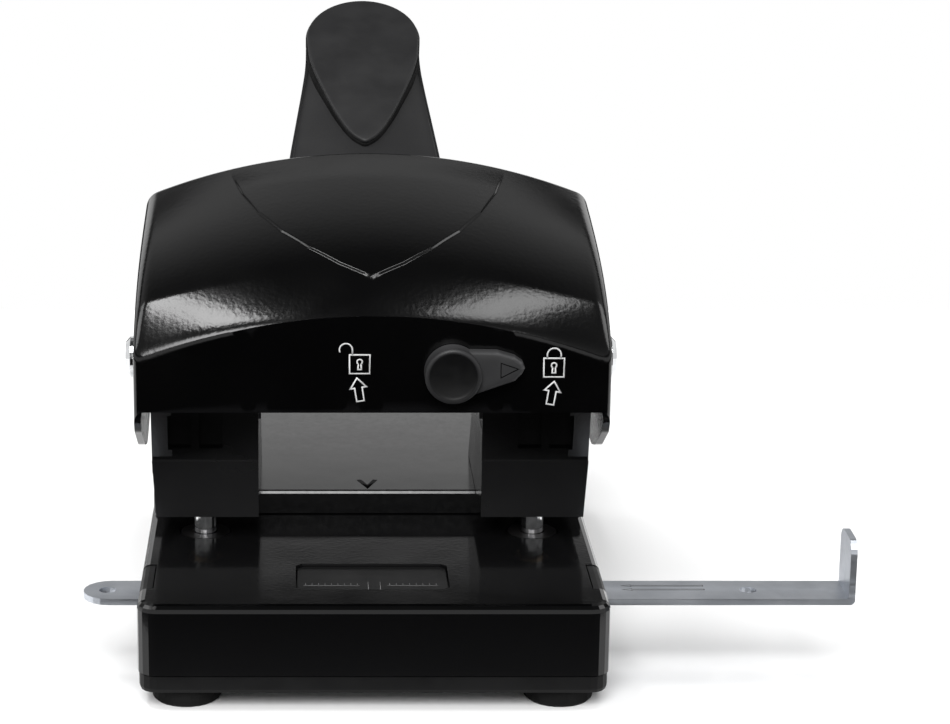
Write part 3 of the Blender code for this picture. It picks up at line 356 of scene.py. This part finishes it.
hoodSet = {
    "front": -0.025, "rear": 0.0453, "ridge": 0.040, "half": 0.0556, "wall": 0.0016, "deck": 0.0215,
    "centreRise": 0.0606, "sideRise": 0.0488, "centreLift": 0.0126, "sideLift": 0.0143, "browRun": 0.015,
    "crownSlope": 0.2, "sideSlope": 0.14, "panelCorner": 0.002, "ridgeCorner": 0.0045, "cornerRun": 0.010,
    "cheekSteps": 24, "cornerSteps": 9, "outerSteps": 40, "ledgeSteps": 8, "innerSteps": 30,
    "frontTurn": (0, 32, 55, 75, 90), "bodyRows": 138, "backRows": 15, "flangeRows": 12,
    "panelShares": (0, 0.06, 0.18, 0.28, 0.32, 0.36, 0.40, 0.44, 0.48, 0.52, 0.56, 0.60, 0.70, 0.82, 0.94, 1),
    "spindleHole": 0.0031, "holeReach": 0.0008,
    "ledgeHeight": 0.0004, "ledgeWidth": 0.0006, "ledgeFade": (0.024, 0.039), "slantLimit": 3, "noField": -0.02,
    "edgeRadius": 0.0003, "edgeSteps": 3, "smoothAngle": 32,
}
# the cheeks' lower outline, as Y, rise above the base and corner radius
cheekCorners = [
    (-0.025, 0.0374, 0), (-0.0215, 0.0318, 0.004), (-0.008, 0.0244, 0.020), (0.003, 0.0213, 0.014),
    (0.016, 0.0262, 0.014), (0.0265, 0.0375, 0.016), (0.0453, 0.0545, 0),
]
# the raised field on the crown, as Y and half width from its point to the ridge
fieldOutline = [
    (-0.0217, -0.0095), (-0.0167, 0), (-0.0126, 0.0076), (-0.0070, 0.0146), (0.0004, 0.0211),
    (0.0103, 0.0267), (0.0226, 0.0310), (0.0345, 0.0336), (0.0453, 0.0352),
]


def roundedLine(corners, steps=10):
    # an open line of (u, v, radius) corners; each arc's middle lies on the line that halves its corner
    line = [corners[0][:2]]
    for before, here, after in zip(corners, corners[1:], corners[2:]):
        p, radius = np.array(here[:2]), here[2]
        a, b = np.array(before[:2]) - p, np.array(after[:2]) - p
        a, b = a / np.linalg.norm(a), b / np.linalg.norm(b)
        half = np.arccos(np.clip(a @ b, -1, 1)) / 2
        middle = p + (a + b) / np.linalg.norm(a + b) * radius / np.sin(half)
        first, last = p + a * radius / np.tan(half) - middle, p + b * radius / np.tan(half) - middle
        t = np.linspace(0, 1, steps + 1)[:, None]
        sweep = np.arccos(np.clip(first @ last / radius ** 2, -1, 1))
        arc = (np.sin((1 - t) * sweep) * first + np.sin(t * sweep) * last) / np.sin(sweep)
        line += (middle + arc).tolist()
    return np.array(line + [corners[-1][:2]])


def smoothStep(value):
    # 0 below 0, 1 above 1, and three squares less two cubes between
    value = np.clip(value, 0, 1)
    return value * value * (3 - 2 * value)


def hoodGrid(y):
    # rows of the cover at each y: up a cheek, round the corner, over the crown's arc and down the other side.
    # Centre and sides rise by one less an exponential over the brow, then by a slope, and fall on an arc at the rear.
    s = hoodSet
    y = y[:, None]
    half, r = s["half"] + 0 * y, s["panelCorner"]
    for edge in (y - s["front"], s["rear"] - y):
        drawnIn = r - np.sqrt(np.maximum(0, r ** 2 - (r - np.minimum(edge, r)) ** 2))
        half = half - np.where(edge < r, drawnIn, 0)
    run = np.minimum(y, s["ridge"]) - s["front"]
    rise = 1 - np.exp(-run / s["browRun"])
    over, reach = np.maximum(0, y - s["ridge"]), s["rear"] - s["ridge"]
    fall = reach - np.sqrt(np.maximum(0, reach ** 2 - over ** 2))
    centre = s["deck"] + s["centreRise"] + s["centreLift"] * rise + s["crownSlope"] * run - fall
    side = s["deck"] + s["sideRise"] + s["sideLift"] * rise + s["sideSlope"] * run - fall
    corner = s["panelCorner"] + (s["ridgeCorner"] - s["panelCorner"]) * np.minimum(1, run / s["cornerRun"])
    height, width = centre - side, half - corner
    crown = (width ** 2 + height ** 2 - corner ** 2) / (2 * (height - corner))
    span = np.arcsin(width / (crown - corner))
    cheek = roundedLine(cheekCorners)
    low = s["deck"] + np.interp(y, cheek[:, 0], cheek[:, 1])
    t = np.linspace(0, 1, s["cheekSteps"] + 1)[None, :-1]
    cheekX, cheekZ = half + 0 * t, low + (side - low) * t
    turn = (pi / 2 - span) * np.linspace(0, 1, s["cornerSteps"] + 1)[None, :-1]
    cornerX, cornerZ = width + corner * np.cos(turn), side + corner * np.sin(turn)
    # columns stand closer over the field's ledge
    field = np.array(fieldOutline)
    edge = np.interp(y, field[:, 0], field[:, 1], left=s["noField"])
    slant = np.sqrt(1 + np.gradient(edge[:, 0], y[:, 0])[:, None] ** 2)
    start = crown * np.sin(span)
    reach = s["ledgeWidth"] * np.minimum(slant, s["slantLimit"])
    outer, inner = np.maximum(edge + reach, 2 * reach), np.maximum(edge - reach, reach / 2)
    t = [np.linspace(0, 1, s[part] + 1)[None, :] for part in ("outerSteps", "ledgeSteps", "innerSteps")]
    crownX = np.concatenate([
        start + (outer - start) * t[0][:, :-1], outer + (inner - outer) * t[1][:, :-1], inner * (1 - t[2]),
    ], 1)
    crownZ = centre - crown + np.sqrt(crown ** 2 - crownX ** 2)
    x = np.concatenate([cheekX, cornerX, crownX], 1)
    z = np.concatenate([cheekZ, cornerZ, crownZ], 1)
    inside = (edge - x) / slant
    fade = 1 - smoothStep((y - s["ledgeFade"][0]) / (s["ledgeFade"][1] - s["ledgeFade"][0]))
    aboveCheek = np.arange(x.shape[1]) >= s["cheekSteps"]
    z = z + fade * s["ledgeHeight"] * smoothStep(inside / s["ledgeWidth"] + 0.5) * aboveCheek
    x = np.concatenate([x, -x[:, -2::-1]], 1)
    z = np.concatenate([z, z[:, -2::-1]], 1)
    return np.stack([x, y + 0 * x, z], -1)


def spindleHoled(panel):
    # points near the spindle hole's circle are drawn onto it; also gives the hole's middle
    s = hoodSet
    middle = np.array([knobSet["at"][0], s["front"], knobSet["at"][1]])
    away = panel - middle
    distance = np.linalg.norm(away, axis=-1, keepdims=True)
    near = np.abs(distance - s["spindleHole"]) < s["holeReach"]
    onCircle = middle + away * s["spindleHole"] / np.maximum(distance, mergeDistance)
    return np.where(near, onCircle, panel), middle


def makeHood():
    # the front's turned edge, the body and the rear's arc as rows, then the flat panel below and the flange behind
    s = hoodSet
    start = s["front"] + s["panelCorner"] * (1 - np.cos(np.radians(s["frontTurn"])))
    body = np.linspace(start[-1], s["ridge"], s["bodyRows"])[1:]
    reach = s["rear"] - s["ridge"]
    back = s["ridge"] + reach * np.sin(np.linspace(0, pi / 2, s["backRows"]))[1:]
    cover = hoodGrid(np.concatenate([start, body, back]))
    top = cover[0]
    line = np.linspace(1, -1, len(top)) * top[0, 0]
    bottom = np.stack([line, top[:, 1], 0 * line + top[0, 2]], -1)
    panel = bottom + (top - bottom) * np.array(s["panelShares"])[:, None, None]
    panel, middle = spindleHoled(panel)
    last = cover[-1, s["cheekSteps"]:-s["cheekSteps"]]
    drop = (cover[-1, s["cheekSteps"], 2] - cover[-1, 0, 2]) / s["cheekSteps"]
    lower = np.arange(s["flangeRows"] + 1)[:, None, None] * np.array([0, 0, -drop])
    points, faces = joinGrids([panel, cover, last + lower])
    inHole = np.linalg.norm(points - middle, axis=-1) < s["spindleHole"] + mergeDistance
    faces = [face for face, cut in zip(faces, inHole[np.array(faces)].all(axis=1)) if not cut]
    hood = newPiece("coverShell", points, faces, "handle", looks["coverPaint"], s["smoothAngle"])
    walled(hood, s["wall"])
    softened(hood, s["edgeRadius"], s["edgeSteps"])
    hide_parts("hood")


makeHood()
print("hood made")


# Ends of the shaft and the stay, peened over a washer on each cheek

stakeSet = {
    "shaft": {"at": (0.007, 0.0629), "radius": 0.0035}, "stay": {"at": (0.03713, 0.07960), "radius": 0.0030},
    "proud": 0.0005, "washer": 0.0004, "sunk": 0.0003, "washerProud": 0.0001,
    "flatShares": (0.85, 0.5), "dishShare": 0.35, "dish": (0.0002, 0.0003), "steps": 40,
}


def makeStakes():
    # a washer, a rounded head above it and a shallow dish in the middle, as radius and distance from the centre
    s, face = stakeSet, hoodSet["half"]
    rim, high = face + s["washerProud"], face + s["proud"]
    for name in ("shaft", "stay"):
        radius = s[name]["radius"]
        wide = radius + s["washer"]
        profile = [
            (0, face - s["sunk"]), (wide, face - s["sunk"]), (wide, rim), (radius, high - s["washerProud"]),
            *[(radius * share, high) for share in s["flatShares"]],
            (radius * s["dishShare"], high - s["dish"][0]), (0, high - s["dish"][1]),
        ]
        for side, word in ((-1, "Left"), (1, "Right")):
            sided = [(r, side * h) for r, h in profile]
            centre = (0, *s[name]["at"])
            turnedPiece(name + "End" + word, sided, centre, "X", "handle", looks["turnedSteel"], s["steps"])


makeStakes()


# Lever: a cast channel, worked out flat along its length and swung up about the shaft

leverSet = {
    "slopeDegrees": 32, "at": (0.007, 0.0629), "front": -0.0058, "end": 0.1277, "endHalf": 0.0144, "top": 0.0062,
    "along": (-0.0058, 0.058, 0.070, 0.0965, 0.106, 0.1133), "halves": (0.0190, 0.0197, 0.0187, 0.0155, 0.0145, 0.0144),
    "foot": -0.0058, "shoulder": 0.0030, "crown": 0.0034, "wall": 0.0022,
    "sideSteps": 120, "endSteps": 33, "smoothOver": 9, "wallRows": 10, "shoulderRows": 8, "topRows": 22,
    "edgeRadius": 0.0004, "edgeSteps": 2, "edgeAngle": 50, "smoothAngle": 45,
}


def swungUp(points):
    # from the lever's own flat frame of x, length and height to its slope at the shaft
    a = radians(leverSet["slopeDegrees"])
    x, s, h = points[..., 0], points[..., 1], points[..., 2]
    y = leverSet["at"][0] + s * cos(a) - h * sin(a)
    z = leverSet["at"][1] + s * sin(a) + h * cos(a)
    return np.stack([x, y, z], -1)


def smoothed(values, over):
    # a running mean, with the ends held
    return np.convolve(np.pad(values, over // 2, mode="edge"), np.ones(over) / over, mode="valid")


def leverPlan(inset):
    # half outline from the front corner along the side and round the end, drawn in by each inset
    s = leverSet
    inset = np.atleast_1d(inset)[:, None]
    centre = s["end"] - s["endHalf"]
    along = np.linspace(s["front"], centre, s["sideSteps"])[None, :]
    half = smoothed(np.interp(along, s["along"], s["halves"])[0], s["smoothOver"])[None, :]
    turn = np.linspace(0, pi / 2, s["endSteps"])[None, 1:]
    radius = np.maximum(s["endHalf"] - inset, 0)
    x = np.concatenate([np.maximum(half - inset, 0), radius * np.cos(turn)], 1)
    y = np.concatenate([along + 0 * inset, centre + radius * np.sin(turn)], 1)
    return x, y


def makeLever():
    # rows up the wall, round the shoulder's quarter circle and in over the top, which falls by the square of x
    s = leverSet
    turn = np.linspace(0, pi / 2, s["shoulderRows"])
    shoulderFoot = s["top"] - s["shoulder"]
    wallH = np.linspace(s["foot"], shoulderFoot, s["wallRows"])
    topInset = np.linspace(s["shoulder"], max(s["halves"]), s["topRows"])[1:]
    inset = np.concatenate([0 * wallH, s["shoulder"] * (1 - np.cos(turn[1:])), topInset])
    shoulderH = s["top"] - s["shoulder"] * (1 - np.sin(turn[1:]))
    height = np.concatenate([wallH, shoulderH, np.full(len(topInset), s["top"])])
    x, y = leverPlan(inset)
    flat = np.clip((height[:, None] - s["top"] + s["shoulder"]) / s["shoulder"], 0, 1)
    h = height[:, None] - flat * s["crown"] * (x / x[0]) ** 2
    half = np.stack([x, y, h], -1)
    mirrored = half[:, ::-1] * np.array([-1, 1, 1])
    grid = swungUp(np.concatenate([half, mirrored[:, 1:]], 1))
    faces = gridFaces(*grid.shape[:2])
    lever = newPiece("leverCasting", grid, faces, "handle", looks["castPaint"], s["smoothAngle"])
    walled(lever, s["wall"])
    softened(lever, s["edgeRadius"], s["edgeSteps"], s["edgeAngle"])
    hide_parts("lever")


makeLever()
print("lever made")


# Grip pad: a teardrop of soft rubber, crowned over the lever's end, with a thin dark skirt under it that paints the
# shadow line beneath the pad's lip

padSet = {
    "tip": 0.0699, "widest": 0.1115, "end": 0.1278, "half": 0.0151, "middleBack": 0.004,
    "low": 0.0040, "lipFoot": 0.0062, "lip": 0.0073, "top": 0.0082, "undercut": 0.0009, "crown": 0.0006, "roll": 0.0007,
    "bowAt": 0.0850, "bow": 0.0014, "bowReach": 0.043,
    # sizes of the skirt, the dark band of painted shadow under the pad's lip
    "skirt": 0.0003, "skirtTop": 0.0072, "skirtEdge": 0.0002, "skirtUnder": 0.0012,
    "sideSteps": 60, "sidePower": 1.3, "smoothOver": 7, "endSteps": 40, "rollRows": 8, "topRows": 30, "smoothAngle": 60,
}
padWidthShares = (0, 0.16, 0.33, 0.53, 0.75, 0.88, 0.965, 1)
padRunShares = (0, 0.03, 0.12, 0.28, 0.51, 0.66, 0.80, 1)


def padOutline():
    # the right side from the tip and round the end's quarter ellipse, then the same mirrored back to the tip
    s = padSet
    across = np.linspace(0, 1, s["sideSteps"]) ** s["sidePower"]
    smooth = smoothed(np.interp(across, padRunShares, padWidthShares), s["smoothOver"]) * (across > 0)
    side = np.stack([s["half"] * smooth, s["tip"] + (s["widest"] - s["tip"]) * across], -1)
    turn = np.linspace(0, pi / 2, s["endSteps"])[1:]
    end = np.stack([s["half"] * np.cos(turn), s["widest"] + (s["end"] - s["widest"]) * np.sin(turn)], -1)
    right = np.concatenate([side, end])
    return np.concatenate([right, right[-2:0:-1] * np.array([-1, 1])])


def padGrid(outline, share, lift):
    # the outline drawn towards the pad's middle by each share, at each lift less a bow that grows with its square
    s = padSet
    middle = np.array([0, s["widest"] - s["middleBack"]])
    flat = middle + (outline - middle)[None] * share[..., None]
    bow = s["bow"] * ((flat[..., 1] - s["bowAt"]) / s["bowReach"]) ** 2
    return np.concatenate([flat, (lift - bow)[..., None]], -1)


def makePad():
    s = padSet
    outline = padOutline()
    reach = np.linalg.norm(outline - np.array([0, s["widest"] - s["middleBack"]]), axis=1)
    turn = np.linspace(0, pi / 2, s["rollRows"])
    inset = np.concatenate([[s["undercut"], s["undercut"], 0], s["roll"] * (1 - np.cos(turn))])
    lift = np.concatenate([[s["low"], s["lipFoot"], s["lip"]], s["top"] - s["roll"] * (1 - np.sin(turn))])
    share = 1 - inset[:, None] / reach[None, :]
    inner = share[-1:] * (1 - np.linspace(0, 1, s["topRows"])[1:, None])
    share, lift = np.concatenate([share, inner]), np.concatenate([lift, np.full(len(inner), s["top"])])
    grid = swungUp(padGrid(outline, share, lift[:, None] + s["crown"] * (1 - share ** 2)))
    faces = gridFaces(*grid.shape[:2], closeCols=True)
    pad = newPiece("gripPad", grid, faces, "handle", looks["softRubber"], s["smoothAngle"])
    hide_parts("grip_pad")
    # the skirt's rows: how far in from its edge, and how high; its first row again at the end closes it below
    rows = np.array([
        (0, s["low"]), (0, s["skirtTop"] - s["skirtEdge"]), (s["skirtEdge"], s["skirtTop"]),
        (s["skirt"] + s["skirtUnder"], s["skirtTop"]),
    ])
    share = 1 + (s["skirt"] - rows[:, :1]) / reach[None, :]
    grid = padGrid(outline, share, rows[:, 1:])
    grid = swungUp(np.concatenate([grid, grid[:1]]))
    faces = gridFaces(*grid.shape[:2], closeCols=True)
    # the skirt's dark rubber paints the shadow line under the pad's lip
    newPiece("padShadowSkirt", grid, faces, "handle", looks["footRubber"], s["smoothAngle"])


makePad()
print("pad made")


# Lock knob: a round cap with a pointer, worn grey at its rim

# the cap's front, as shares of its radius and depths behind its face
capProfile = [
    (0, 0.00035), (0.72, 0.00035), (0.80, 0.00015), (0.86, 0), (0.94, 0.0001), (0.985, 0.0004), (1, 0.0010),
]
# the pointer's outline and its arrow, as X and Z from the knob's centre
pointerOutline = [
    (0, -0.0054), (0.0052, -0.0048), (0.0102, -0.0030), (0.0144, -0.0015), (0.0160, 0.0002), (0.0166, 0.0015),
    (0.0160, 0.0029), (0.0142, 0.0042), (0.0102, 0.0054), (0.0052, 0.0055), (0, 0.0055),
]
pointerArrow = [(0.0110, 0.0029), (0.0150, 0.0015), (0.0110, -0.0006), (0.0110, 0.0029)]
# the pointer's rounded edge, as shares of its outline and depths behind its face
pointerEdge = [(1, 0.0009), (0.97, 0.0004), (0.91, 0.0001), (0.84, 0), (0.5, 0), (0, 0)]


def makeKnob():
    s = knobSet
    r, face, back = s["radius"], s["face"], s["back"]
    x, z = s["at"]
    profile = [(r * share, face + depth) for share, depth in capProfile] + [(r, back), (0, back)]
    turnedPiece("knobCap", profile, (x, 0, z), "Y", "knob", looks["knobPlastic"], s["steps"])
    outline = np.array(pointerOutline)
    edges = zip(outline, np.roll(outline, -1, 0))
    ring = np.concatenate([np.linspace(a, b, s["edgeSteps"] + 1)[:-1] for a, b in edges])
    centre = ring.mean(0)
    rows = [(1, back)] + [(share, s["pointerFace"] + depth) for share, depth in pointerEdge]
    flat = np.stack([centre + (ring - centre) * share for share, y in rows])
    deep = np.array([y for share, y in rows])[:, None] + 0 * flat[..., 0]
    grid = np.stack([flat[..., 0] + x, deep, flat[..., 1] + z], -1)
    faces = gridFaces(*grid.shape[:2], closeCols=True)
    pointer = newPiece("knobPointer", grid, faces, "knob", looks["pointerPlastic"], s["smoothAngle"])
    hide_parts("lock_knob")


makeKnob()


# Printed and engraved lines, as thin ribbons

sharpestTurn = 0.35


def ribbonPiece(name, lines, width, depth, place, body, look):
    # lines of (u, v) points, each drawn as a ribbon half the width to either side of it and drawn out at its corners;
    # a line is closed where its last point repeats the first
    grids = []
    for line in lines:
        line = np.array(line, float)
        closed = np.allclose(line[0], line[-1])
        step = np.diff(line, axis=0)
        step = step / np.linalg.norm(step, axis=1)[:, None]
        before = np.concatenate([step[-1:] if closed else step[:1], step])
        after = np.concatenate([step, step[:1] if closed else step[-1:]])
        tangent = before + after
        tangent = tangent / np.linalg.norm(tangent, axis=1)[:, None]
        stretch = 1 / np.maximum(sharpestTurn, np.sum(tangent * before, 1))
        normal = np.stack([-tangent[:, 1], tangent[:, 0]], -1) * (stretch * width / 2)[:, None]
        grids.append(place(np.stack([line - normal, line + normal])))
    points, faces = joinGrids(grids)
    walled(newPiece(name, points, faces, body, look), depth)


def upright(y, centre=(0, 0)):
    # places (X, Z) points on an upright face at y
    return lambda flat: np.stack([flat[..., 0] + centre[0], np.full(flat.shape[:-1], y), flat[..., 1] + centre[1]], -1)


def level(z):
    # places (X, Y) points on a level face at z
    return lambda flat: np.stack([flat[..., 0], flat[..., 1], np.full(flat.shape[:-1], z)], -1)


def circleLine(centre, radius, start, end, steps):
    turn = np.radians(np.linspace(start, end, steps + 1))
    return np.stack([centre[0] + radius * np.cos(turn), centre[1] + radius * np.sin(turn)], -1).tolist()


# Padlock signs on the front panel: a shut one on the right, an open one on the left, each over an arrow

iconSet = {
    "width": 0.00034, "depth": 0.00004, "gap": 0.00003, "open": (-0.0030, 0.0706), "closed": (0.0420, 0.0698),
    "body": (0.0047, 0.0045), "keyhole": {"rise": 0.12, "radius": 0.13, "turn": (-60, 240), "steps": 14},
    "stem": (0.09, 0.28), "shackleSteps": 16,
    "openShackle": {"aside": 0.68, "lift": 0.0012, "radius": 0.0015, "end": 205},
    "closedShackle": {"aside": 0, "lift": 0.0008, "radius": 0.0016, "end": 180},
    "arrowDrop": 0.0061, "arrowHeight": 0.0056, "openArrow": (-0.0002, 9), "closedArrow": (-0.0003, -9),
}
# a block arrow pointing up, in shares of its height
arrowShape = [
    (-0.16, -0.5), (-0.16, 0.08), (-0.34, 0.08), (0, 0.5), (0.34, 0.08), (0.16, 0.08), (0.16, -0.5), (-0.16, -0.5),
]


def arrowLine(centre, height, leanDegrees):
    # the block arrow turned about its middle
    a = radians(leanDegrees)
    turn = np.array([[cos(a), -sin(a)], [sin(a), cos(a)]])
    return (np.array(arrowShape) * height @ turn.T + np.array(centre)).tolist()


def padlock(centre, shackle):
    # body, keyhole with its stem, and the shackle
    w, h = iconSet["body"]
    x, z = centre
    left, right, foot, head = x - w / 2, x + w / 2, z - h / 2, z + h / 2
    body = [(left, foot), (right, foot), (right, head), (left, head), (left, foot)]
    key, (stemHalf, stemDrop) = iconSet["keyhole"], iconSet["stem"]
    hole = circleLine((x, z + h * key["rise"]), w * key["radius"], *key["turn"], key["steps"])
    stem = [hole[0], (x + w * stemHalf, z - h * stemDrop), (x - w * stemHalf, z - h * stemDrop), hole[-1]]
    return [body, hole, stem, shackle]


def makeIcons():
    # each shackle is an arc over the body; the shut one comes down on both sides
    s = iconSet
    w, h = s["body"]
    lines = []
    for word in ("open", "closed"):
        x, z = s[word]
        part, (shift, lean) = s[word + "Shackle"], s[word + "Arrow"]
        middle = (x - w * part["aside"], z + h / 2 + part["lift"])
        arc = circleLine(middle, part["radius"], 0, part["end"], s["shackleSteps"])
        feet = [(arc[0][0], z + h / 2)], [(arc[-1][0], z + h / 2)]
        lines += padlock((x, z), feet[0] + arc + (feet[1] if word == "closed" else []))
        lines.append(arrowLine((x + shift, z - s["arrowDrop"]), s["arrowHeight"], lean))
    place = upright(hoodSet["front"] - s["gap"])
    ribbonPiece("padlockSigns", lines, s["width"], s["depth"], place, "handle", looks["printedWhite"])


# Engraved lines: the knob's arrow, the arm's two arrows, the deck's centre mark, a dark chevron of painted shade where
# a notch is cut through, and generic rule marks in the window

markDepth = 0.00003
pointerMark = {"width": 0.00022, "gap": 0.00002}
armMark = {"width": 0.00022, "top": 0.01851, "rows": (-0.0312, -0.0338)}
armArrow = [
    (0.0606, 0.0006), (0.0585, 0), (0.0606, -0.0006), (0.0606, -0.0003), (0.0775, -0.0003), (0.0775, 0.0003),
    (0.0606, 0.0003), (0.0606, 0.0006),
]
deckMark = {"width": 0.0012, "top": 0.02772, "line": [(-0.0021, 0.0213), (0, 0.0156), (0.0021, 0.0213)]}
ruleMark = {
    "width": 0.00010, "top": 0.02092, "line": -0.0377, "ticks": (-0.0372, -0.0362), "bars": (-0.0405, -0.0352),
    "left": (-0.0155, -0.0035, 9), "right": (0.0040, 0.0148, 8), "leftLine": (-0.0160, -0.0030),
    "rightLine": (0.0035, 0.0152), "barPlaces": (-0.0010, 0.0018),
}


def makePointerMark():
    place = upright(knobSet["pointerFace"] - pointerMark["gap"], knobSet["at"])
    width, look = pointerMark["width"], looks["darkMark"]
    ribbonPiece("pointerMark", [pointerArrow], width, markDepth, place, "knob", look)


def makeArmMarks():
    lines = [[(x, row + y) for x, y in armArrow] for row in armMark["rows"]]
    place, look = level(armMark["top"]), looks["darkSteel"]
    ribbonPiece("armMarks", lines, armMark["width"], markDepth, place, "guide_arm", look)


def makeDeckMark():
    # a dark, barely reflecting chevron: painted shade inside a notch cut through the deck
    place, look = level(deckMark["top"]), looks["darkMark"]
    ribbonPiece("centreNotchShade", [deckMark["line"]], deckMark["width"], markDepth, place, "base", look)


def makeRuleMarks():
    s = ruleMark
    ticks = np.linspace(*s["left"]).tolist() + np.linspace(*s["right"]).tolist()
    lines = [[(x, y) for y in s["ticks"]] for x in ticks]
    lines += [[(x, s["line"]) for x in s[side]] for side in ("leftLine", "rightLine")]
    lines += [[(x, y) for y in s["bars"]] for x in s["barPlaces"]]
    place, look = level(s["top"]), looks["fadedPrint"]
    ribbonPiece("ruleMarks", lines, s["width"], markDepth, place, "base", look)


makePointerMark()
makeIcons()
makeArmMarks()
makeDeckMark()
makeRuleMarks()
print("knob and marks made")


# Return springs: round wire on a coil with closer end turns, stretched between base and carriage

springSet = {
    "radius": 0.0041, "wire": 0.00045, "low": 0.0364, "high": 0.04965, "turns": 5, "endShare": 0.14, "pin": 0.040,
    "turnSteps": 40, "wireSteps": 12, "smoothAngle": 60,
}


def springGrid():
    # rings of wire across the coil's path, whose climb is slower over the first and last turn; ends closed to a point
    s = springSet
    t = np.linspace(0, 1, s["turns"] * s["turnSteps"] + 1)
    end = 1 / s["turns"]
    climb = np.interp(t, [0, end, 1 - end, 1], [0, s["endShare"], 1 - s["endShare"], 1])
    turn = 2 * pi * s["turns"] * t
    height = s["low"] + (s["high"] - s["low"]) * climb
    path = np.stack([s["radius"] * np.cos(turn), s["radius"] * np.sin(turn), height], -1)
    tangent = np.gradient(path, axis=0)
    tangent = tangent / np.linalg.norm(tangent, axis=1)[:, None]
    outward = np.stack([np.cos(turn), np.sin(turn), 0 * turn], -1)
    across = np.cross(tangent, outward)
    around = np.linspace(0, 2 * pi, s["wireSteps"], endpoint=False)[None, :, None]
    ring = np.cos(around) * outward[:, None] + np.sin(around) * across[:, None]
    caps = [np.repeat(path[i][None, None], s["wireSteps"], 1) for i in (0, -1)]
    return np.concatenate([caps[0], path[:, None] + s["wire"] * ring, caps[1]])


def makeSprings():
    s = springSet
    grid = springGrid()
    faces = gridFaces(*grid.shape[:2], closeCols=True)
    for side, word in ((-1, "left"), (1, "right")):
        x = side * s["pin"]
        shape = grid * np.array([side, 1, 1]) + np.array([x, 0, 0])
        spring = newPiece("returnSpring_" + word, shape, faces, None, looks["turnedSteel"], s["smoothAngle"])
        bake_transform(spring)
        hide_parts("return_spring_" + word)


makeSprings()
print("springs made")


# Studio: a pale table, two softboxes over the shoulders, soft light from the front and a pale horizon

boxes = {
    "leftBox": {"at": (-0.415, -0.15, 1.14), "size": (0.50, 0.15), "power": 3.5},
    "rightBox": {"at": (0.36, -0.15, 1.17), "size": (0.44, 0.18), "power": 1.8},
    "leftSide": {"at": (-0.95, 0.12, 0.85), "size": (0.5, 0.5), "power": 2.6},
    "rightSide": {"at": (0.95, 0.12, 0.85), "size": (0.5, 0.5), "power": 2.2},
}
studio = {
    "aim": (0, 0.01, 0.06), "sunDegrees": (48, -8), "sunPower": 3.1, "sunSpread": 36,
    "skyStops": (-0.08, -0.02, 0.27, 0.31, 0.338, 0.42, 0.50, 0.60, 0.75, 0.92),
    "skyTones": (0.01, 0.90, 0.90, 0.45, 0.03, 0.03, 0.42, 0.36, 0.24, 0.05),
}
tableSet = {"front": -0.070, "rear": 0.32, "half": 0.42, "top": -0.004, "apronFront": -0.46, "points": 5}
cameraSet = {
    "at": (-0.0161, -0.6304, 0.2370), "tiltDegrees": 74.68, "lens": 102.8, "sensor": 36, "shiftX": 0.181,
    "clip": (0.01, 50),
}


def placed(name, data, at=(0, 0, 0), turn=(0, 0, 0)):
    thing = bpy.data.objects.new(name, data)
    thing.location, thing.rotation_euler = at, turn
    bpy.context.scene.collection.objects.link(thing)
    return thing


def makeLights():
    for name, box in boxes.items():
        light = bpy.data.lights.new(name, "AREA")
        light.shape, light.energy = "RECTANGLE", box["power"]
        light.size, light.size_y = box["size"]
        towards = Vector(studio["aim"]) - Vector(box["at"])
        placed(name, light, box["at"], towards.to_track_quat("-Z", "Y").to_euler())
    sun = bpy.data.lights.new("frontSun", "SUN")
    sun.energy, sun.angle = studio["sunPower"], radians(studio["sunSpread"])
    down, aside = studio["sunDegrees"]
    placed("frontSun", sun, turn=(radians(down), 0, radians(aside)))


def makeSky():
    # white to the camera; as a light it is a pale band above the horizon, dimmer overhead and dark below
    sky = bpy.data.worlds.new("sky")
    sky.use_nodes = True
    nodes, links = sky.node_tree.nodes, sky.node_tree.links
    where = nodes.new("ShaderNodeTexCoord")
    parts = nodes.new("ShaderNodeSeparateXYZ")
    links.new(where.outputs["Generated"], parts.inputs["Vector"])
    height = ranged(nodes, links, parts.outputs["Z"], 0, 1, -1, 1)
    ramp = nodes.new("ShaderNodeValToRGB")
    while len(ramp.color_ramp.elements) < len(studio["skyStops"]):
        ramp.color_ramp.elements.new(1)
    for stop, at, tone in zip(ramp.color_ramp.elements, studio["skyStops"], studio["skyTones"]):
        stop.position, stop.color = (at + 1) / 2, (tone, tone, tone, 1)
    links.new(height, ramp.inputs["Fac"])
    mixed, lightTone, seenTone = colourMix(nodes, links, nodes.new("ShaderNodeLightPath").outputs["Is Camera Ray"])
    links.new(ramp.outputs["Color"], lightTone)
    seenTone.default_value = (1, 1, 1, 1)
    links.new(mixed, nodes["Background"].inputs["Color"])
    bpy.context.scene.world = sky


def makeTable(name, front, rear, mirrored):
    # a flat grid; the apron before the punch isn't mirrored by its black front and throws no light on it
    s = tableSet
    x, y = np.linspace(-s["half"], s["half"], s["points"])[None, :], np.linspace(front, rear, s["points"])[:, None]
    grid = np.stack([x + 0 * y, y + 0 * x, s["top"] + 0 * x + 0 * y], -1)
    mesh = bpy.data.meshes.new(name)
    mesh.from_pydata(grid.reshape(-1, 3).tolist(), [], gridFaces(s["points"], s["points"]))
    mesh.materials.append(looks["paleTable"])
    table = placed(name, mesh)
    table.visible_glossy = table.visible_diffuse = mirrored


def makeCamera():
    s = cameraSet
    lens = bpy.data.cameras.new("camera")
    lens.sensor_width, lens.lens, lens.shift_x = s["sensor"], s["lens"], s["shiftX"]
    lens.clip_start, lens.clip_end = s["clip"]
    bpy.context.scene.camera = placed("camera", lens, s["at"], (radians(s["tiltDegrees"]), 0, 0))
    bpy.context.scene.view_settings.view_transform = "Standard"


makeLights()
makeSky()
makeTable("table", tableSet["front"], tableSet["rear"], True)
makeTable("tableApron", tableSet["apronFront"], tableSet["front"], False)
makeCamera()
print("studio set")
